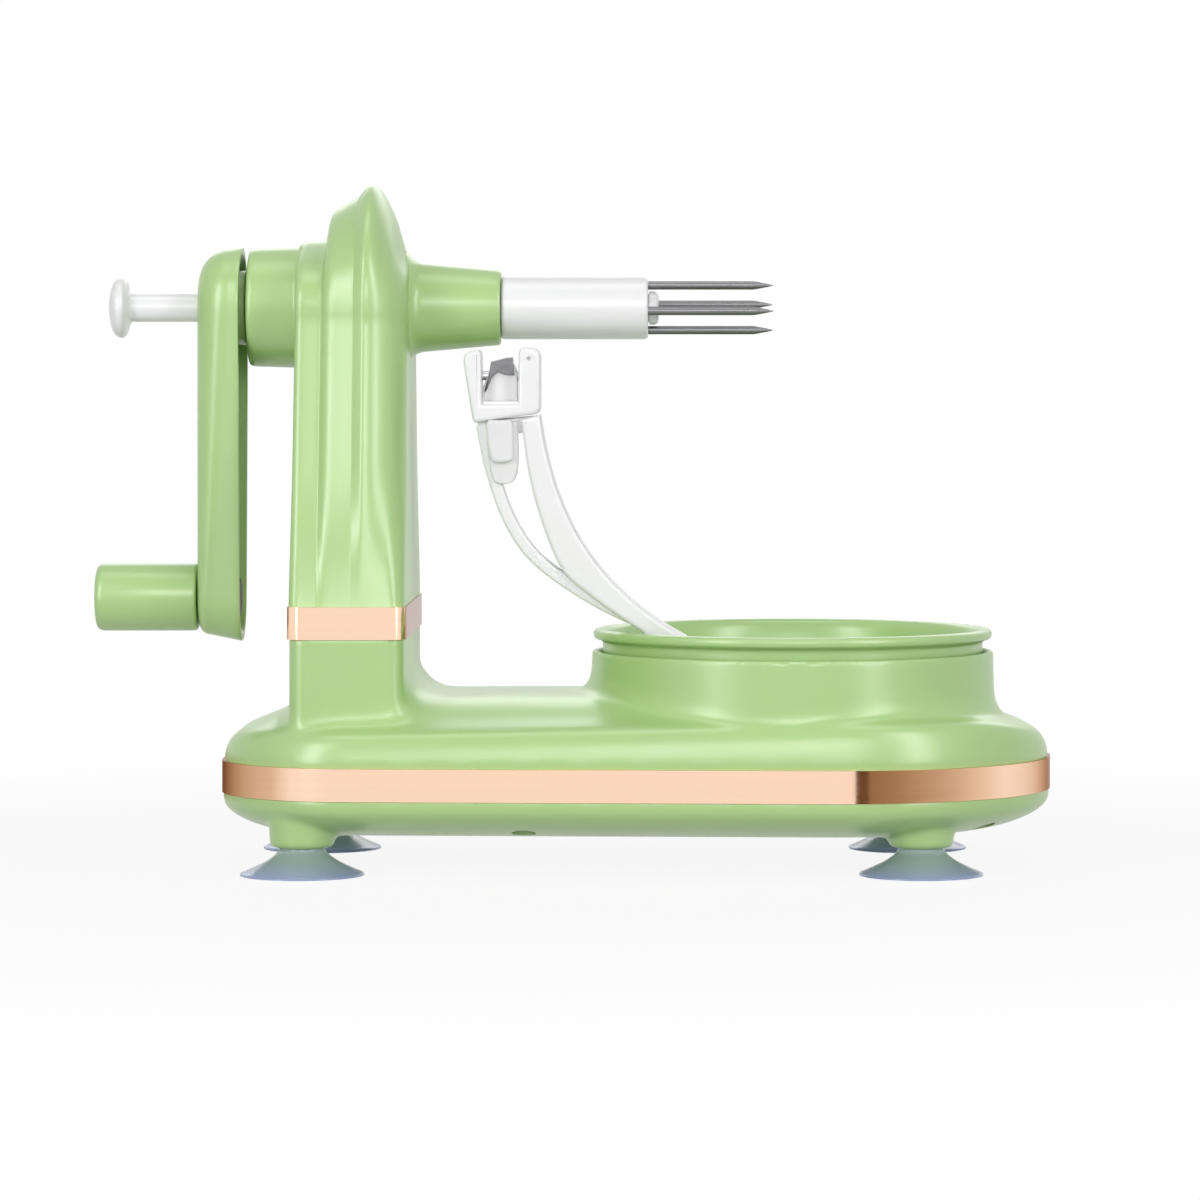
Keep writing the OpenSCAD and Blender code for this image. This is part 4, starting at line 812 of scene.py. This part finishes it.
outer_edge = eased([
    (-25.3, 117.6), (-22.7, 105.4), (-18, 92.2), (-11.9, 82.8), (-3.9, 76.1), (4, 71), (11, 67.2), (18.5, 63.9)
], 5)
inner_edge = bezier([(-8.2, 120.8), (-5, 97), (4, 76), (30.6, 61.8)])
crease = eased([
    (-13.4, 119.4), (-12.8, 115), (-11, 103.5), (-7.2, 90.3), (-2, 78.9), (4.6, 73), (11.4, 68), (18.9, 63)
], 5)
rail_path = np.vstack([outer_edge, [(22.5, 62.1)]])
rail_run = np.gradient(rail_path, axis=0)
rail_run /= np.linalg.norm(rail_run, axis=1)[:, None]
rail_side = np.column_stack([-rail_run[:, 1], rail_run[:, 0]])
rail_edge, rail_border = 0.8, 0.25
rail_section = []
for across, y, start in ((2.5, -16.3, 0), (0.8, -16.3, 90), (0.8, -23.7, 180), (2.5, -23.7, 270)):
    turns = np.radians([start, *np.linspace(start, start + 90, 6), start + 90])
    slides = [-rail_border, 0, 0, 0, 0, 0, 0, rail_border]
    for a, slide in zip(turns, slides):
        corner = (across + rail_edge * math.cos(a), y + rail_edge * math.sin(a))
        rail_section.append((corner[0] - slide * math.sin(a), corner[1] + slide * math.cos(a)))
arm_foot_r = 4
a = np.linspace(math.pi * 1.05, 2 * math.pi, 17)
arm_foot = np.column_stack([hinge_x + arm_foot_r * np.cos(a), hinge_z + arm_foot_r * np.sin(a)])
arm = plate("peeling_arm", np.vstack([crease, arm_foot, inner_edge[::-1]]), -26.5, -13.5, 1.2)
rail = lofted("arm_rail", [
    np.array([(x + across * side_x, y, z + across * side_z) for across, y in rail_section])
    for (x, z), (side_x, side_z) in zip(rail_path, rail_side)
])
bridge = plate("arm_bridge", [(-25, 119), (-24.6, 114), (-10, 116.4), (-10, 120.4)], -24, -16, 0.5)
joined(arm, [rail, bridge])
joined(arm, [turned("arm_bore", [(-30, 0), (-30, 1.55), (-10, 1.55), (-10, 0)], hinge_axis, "Y", 40)], "DIFFERENCE")
shaded(arm, white_plastic, 40)
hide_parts("peel_arm")
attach(arm, "peel_arm")


# Blade guard: the fork-shaped white head that snaps onto the arm, with two posts beside the blade.
# The swivel pin of the blade runs across the posts.
guard = plate("head_guard", [
    (-25.6, 118.6), (-26.2, 119.6), (-28.6, 134.6), (-28.3, 136.4), (-27.2, 137.4), (-24.8, 137.9), (-24, 137.4),
    (-23.8, 136.4), (-23.8, 123.4), (-14, 123.4), (-14, 136.8), (-13.6, 138.1), (-12.6, 138.6), (-9.8, 138.3),
    (-8.6, 137.5), (-8.2, 136.2), (-8.2, 122.6), (-8.6, 121.4), (-9.8, 120.8)
], -26.4, -13.6, 1)
swivel_axis = (0, -20, 131)
joined(guard, [
    turned("pin_dimple", [(-27, 0), (-27, 0.55), (-25.2, 0.55), (-25.2, 0)], (-11.3, 0, 135.6), "Y", 24),
    turned("pivot_bore", [(-27.1, 0), (-27.1, 1.25), (-9.7, 1.25), (-9.7, 0)], swivel_axis, "X", 40),
], "DIFFERENCE")
shaded(guard, white_plastic, 40)
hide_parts("blade_guard")
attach(guard, "peel_arm")


# Blade latch: a springy tongue of milky plastic below the blade, with a raised pad for the thumb.
# It locks the head to the arm.
def milky_plastic():
    """Thin plastic that lets a little light through, with a cloudy haze."""
    material, tree, shader, place = new_finish("milky_plastic")
    haze = patches(tree, place, 140, 3)
    tree.links.new(tinted(tree, haze, (0.85, 0.85, 0.857), (0.91, 0.91, 0.917)), shader.inputs["Base Color"])
    glossed(tree, shader, haze, 0.18, 0.3)
    shader.inputs["IOR"].default_value = 1.49
    shader.inputs["Transmission Weight"].default_value = 0.2
    return material


milky = milky_plastic()
latch = plate("latch_tongue", eased([
    (-22.6, 118.6), (-22.3, 112), (-21.2, 105), (-20.3, 102.9), (-18.3, 102.3), (-15.6, 102.9), (-14.5, 105),
    (-14.1, 110), (-14.4, 118.9)
], 4), -25.6, -19, 0.6)
pad = plate("latch_pad", [
    (-21.6, 109), (-22.3, 114), (-22.5, 118.4), (-21.9, 119.3), (-16.1, 119.3), (-15.5, 118.6), (-15.3, 114),
    (-15.2, 109.2), (-16, 108.3), (-18.4, 107.9), (-20.8, 108.2)
], -27.4, -25, 0.9)
joined(latch, [pad])
shaded(latch, milky, 40)
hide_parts("blade_latch")
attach(latch, "peel_arm")


# Blade and carrier: a small milky plastic block that rocks on the swivel pin, and on its front the
# folded steel blade with a ground edge.
carrier = plate("blade_block", [
    (-23.4, 124.2), (-23.5, 128.2), (-22.4, 130.6), (-20.4, 132.8), (-17, 134.4), (-15.2, 134), (-14.4, 132),
    (-14.3, 124.2)
], -22.2, -17.8, 0.5)
joined(carrier, [
    turned("carrier_bore", [(-25, 0), (-25, 1.25), (-12, 1.25), (-12, 0)], swivel_axis, "X", 40)
], "DIFFERENCE")
shaded(carrier, milky, 40)
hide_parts("blade_carrier")
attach(carrier, "blade_carrier")
blade_steel = drawn_steel("blade_steel", (0.17, 0.17, 0.175), 0.32, (80, 80, 300))
blade = plate("folded_blade", [
    (-23.2, 126.6), (-22, 131.4), (-21.4, 134.7), (-17.3, 135.8), (-15.5, 135.9), (-15.3, 131.2), (-17.8, 131.3),
    (-19.6, 132.2), (-21.2, 130.4), (-22.6, 127)
], -23.05, -22.2, 0.15)
shaded(blade, blade_steel, 35)
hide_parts("peeling_blade")
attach(blade, "blade_carrier")


# Drive inside the shells: moulded resin gears, worm and bushes on plain steel shafts and axles.
# Their solids come as they are from the frame and take a finish each.
gear_resin = moulded_plastic("gear_resin", (0.83, 0.8, 0.71), 0.42, 0.2)
# Near-black steel for the handle pin, painted shade so that the pin reads as shadow in the crank's tray.
shade_dark_steel = drawn_steel("shade_dark_steel", (0.06, 0.06, 0.062), 0.5, (60, 60, 60))
shaft_steel = drawn_steel("shaft_steel", (0.52, 0.52, 0.53), 0.28, (300, 300, 20))
for row in frame["record"]["subparts"]:
    solid = frame["nodes"][row["node"]]
    if solid.hide_render:
        continue
    finish = gear_resin if row["material_slot"] == "gear_resin" else shaft_steel
    # The handle pin takes the near-black steel as painted shade inside the crank's tray.
    if row["node"] == "handle_pin":
        finish = shade_dark_steel
    solid.data.materials.clear()
    solid.data.materials.append(finish)


# Stage: a pale floor, a white surround for the camera and for reflections, and soft studio lamps.
# Two tall lamps stand in front at the left and right, and broad ones in front, above and behind.
# Two low glowing cards beside the base show only in the polish of the bands and other metal, as painted dark, warm
# reflections.
def seen_white(tree):
    """Share of plain white: 1 for what the camera sees directly, in reflections or through a piece, else 0."""
    nodes, links = tree.nodes, tree.links
    path = nodes.new("ShaderNodeLightPath")
    total = path.outputs["Is Camera Ray"]
    for ray in ("Is Glossy Ray", "Is Transmission Ray"):
        either = nodes.new("ShaderNodeMath")
        either.operation = "MAXIMUM"
        links.new(total, either.inputs[0])
        links.new(path.outputs[ray], either.inputs[1])
        total = either.outputs["Value"]
    return total


floor_mesh = bpy.data.meshes.new("floor")
floor_mesh.from_pydata([(-6, -6, 0), (6, -6, 0), (6, 6, 0), (-6, 6, 0)], [], [(0, 1, 2, 3)])
floor = bpy.data.objects.new("floor", floor_mesh)
bpy.context.scene.collection.objects.link(floor)
floor_paper = bpy.data.materials.new("floor_paper")
floor_paper.use_nodes = True
paper = floor_paper.node_tree
matte = paper.nodes["Principled BSDF"]
matte.inputs["Base Color"].default_value = (0.62, 0.62, 0.62, 1)
matte.inputs["Roughness"].default_value = 0.9
glow = paper.nodes.new("ShaderNodeEmission")
blend = paper.nodes.new("ShaderNodeMixShader")
spot = paper.nodes.new("ShaderNodeNewGeometry")
reach = paper.nodes.new("ShaderNodeVectorMath")
reach.operation = "LENGTH"
paper.links.new(spot.outputs["Position"], reach.inputs[0])
lightness = paper.nodes.new("ShaderNodeMapRange")
lightness.interpolation_type = "SMOOTHSTEP"
lightness.inputs["From Min"].default_value = 0.12
lightness.inputs["From Max"].default_value = 0.45
lightness.inputs["To Min"].default_value = 0.9
lightness.inputs["To Max"].default_value = 1
paper.links.new(reach.outputs["Value"], lightness.inputs["Value"])
shown = paper.nodes.new("ShaderNodeMath")
shown.operation = "MULTIPLY"
paper.links.new(seen_white(paper), shown.inputs[0])
paper.links.new(lightness.outputs["Result"], shown.inputs[1])
paper.links.new(shown.outputs["Value"], blend.inputs["Fac"])
paper.links.new(matte.outputs["BSDF"], blend.inputs[1])
paper.links.new(glow.outputs["Emission"], blend.inputs[2])
paper.links.new(blend.outputs["Shader"], paper.nodes["Material Output"].inputs["Surface"])
floor_mesh.materials.append(floor_paper)

surround = bpy.data.worlds.new("surround")
bpy.context.scene.world = surround
surround.use_nodes = True
sky = surround.node_tree
fill = sky.nodes["Background"]
fill.inputs["Color"].default_value = (1, 1, 1, 1)
fill.inputs["Strength"].default_value = 0.17
white = sky.nodes.new("ShaderNodeBackground")
white.inputs["Color"].default_value = (1, 1, 1, 1)
white.inputs["Strength"].default_value = 1
pick = sky.nodes.new("ShaderNodeMixShader")
sky.links.new(seen_white(sky), pick.inputs["Fac"])
sky.links.new(fill.outputs["Background"], pick.inputs[1])
sky.links.new(white.outputs["Background"], pick.inputs[2])
sky.links.new(pick.outputs["Shader"], sky.nodes["World Output"].inputs["Surface"])


def soft_lamp(name, azimuth, elevation, distance, width, height, power):
    """Area lamp that faces the middle of the object; azimuth 0 is the camera's side, positive to the right."""
    middle_z = 0.09
    data = bpy.data.lights.new(name, "AREA")
    data.shape = "RECTANGLE"
    data.size, data.size_y = width, height
    data.energy = power
    lamp = bpy.data.objects.new(name, data)
    a, e = math.radians(azimuth), math.radians(elevation)
    level = distance * math.cos(e)
    lamp.location = (level * math.sin(a), -level * math.cos(a), middle_z + distance * math.sin(e))
    lamp.rotation_euler = (math.pi / 2 - e, 0, a)
    lamp.visible_camera = False
    bpy.context.scene.collection.objects.link(lamp)


soft_lamp("left_lamp", -42, 20, 1.3, 0.28, 1.1, 7.2)
soft_lamp("right_lamp", 46, 20, 1.3, 0.28, 1.1, 6.2)
soft_lamp("front_lamp", 3, 17, 1.6, 0.8, 0.36, 5.6)
soft_lamp("top_lamp", 0, 86, 1.6, 1.2, 0.6, 4)
soft_lamp("back_lamp", 176, 24, 1.6, 1.3, 0.5, 3.5)


def low_card(name, centre, stops):
    """Low bent glowing card in front of a corner of the base, seen only in polish, where its shades are painted
    reflections; stops give azimuths and shades.
    """
    bend_r, low_z, high_z = 0.2, 0.0005, 0.03
    points = []
    for azimuth, shade in stops:
        a = math.radians(azimuth)
        x, y = centre[0] + bend_r * math.sin(a), centre[1] - bend_r * math.cos(a)
        points += [(x, y, low_z), (x, y, high_z)]
    faces = [(2 * i, 2 * i + 2, 2 * i + 3, 2 * i + 1) for i in range(len(stops) - 1)]
    mesh = bpy.data.meshes.new(name)
    mesh.from_pydata(points, [], faces)
    # The shades, tinted warm, are painted reflection colours for the bands and other metal.
    tone = mesh.color_attributes.new("shade", "FLOAT_COLOR", "POINT")
    for i, (azimuth, shade) in enumerate(stops):
        for k in (0, 1):
            tone.data[2 * i + k].color = (shade, shade ** 1.35, shade ** 1.9, 1)
    card = bpy.data.objects.new(name, mesh)
    bpy.context.scene.collection.objects.link(card)
    paint = bpy.data.materials.new(name)
    paint.use_nodes = True
    nodes, links = paint.node_tree.nodes, paint.node_tree.links
    reflection_shade = nodes.new("ShaderNodeAttribute")
    reflection_shade.attribute_name = "shade"
    glow = nodes.new("ShaderNodeEmission")
    links.new(reflection_shade.outputs["Color"], glow.inputs["Color"])
    links.new(glow.outputs["Emission"], nodes["Material Output"].inputs["Surface"])
    mesh.materials.append(paint)
    card.visible_camera = False
    card.visible_diffuse = False
    card.visible_shadow = False
    card.visible_transmission = False


low_card("right_low_card", (0.0702, 0), [
    (8, 0.12), (13, 0.13), (14.5, 0.3), (26, 0.36), (40, 0.46), (65, 0.74), (88, 1)
])
low_card("left_low_card", (-0.0559, -0.015), [(-160, 0.42), (-110, 0.55), (-70, 0.72), (-52, 1)])


# Camera: level and a little to the right of the object's middle, with a long lens.
# The shift gives the photograph's framing.
view = bpy.data.cameras.new("camera")
view.lens = 144.4
view.sensor_width = 36
view.shift_x = -0.058
view.shift_y = -0.179
view.clip_end = 50
camera = bpy.data.objects.new("camera", view)
camera.location = (0.026, -1.3, 0.1285)
camera.rotation_euler = (math.pi / 2, 0, 0)
bpy.context.scene.collection.objects.link(camera)
bpy.context.scene.camera = camera
bpy.context.scene.view_settings.view_transform = "Standard"
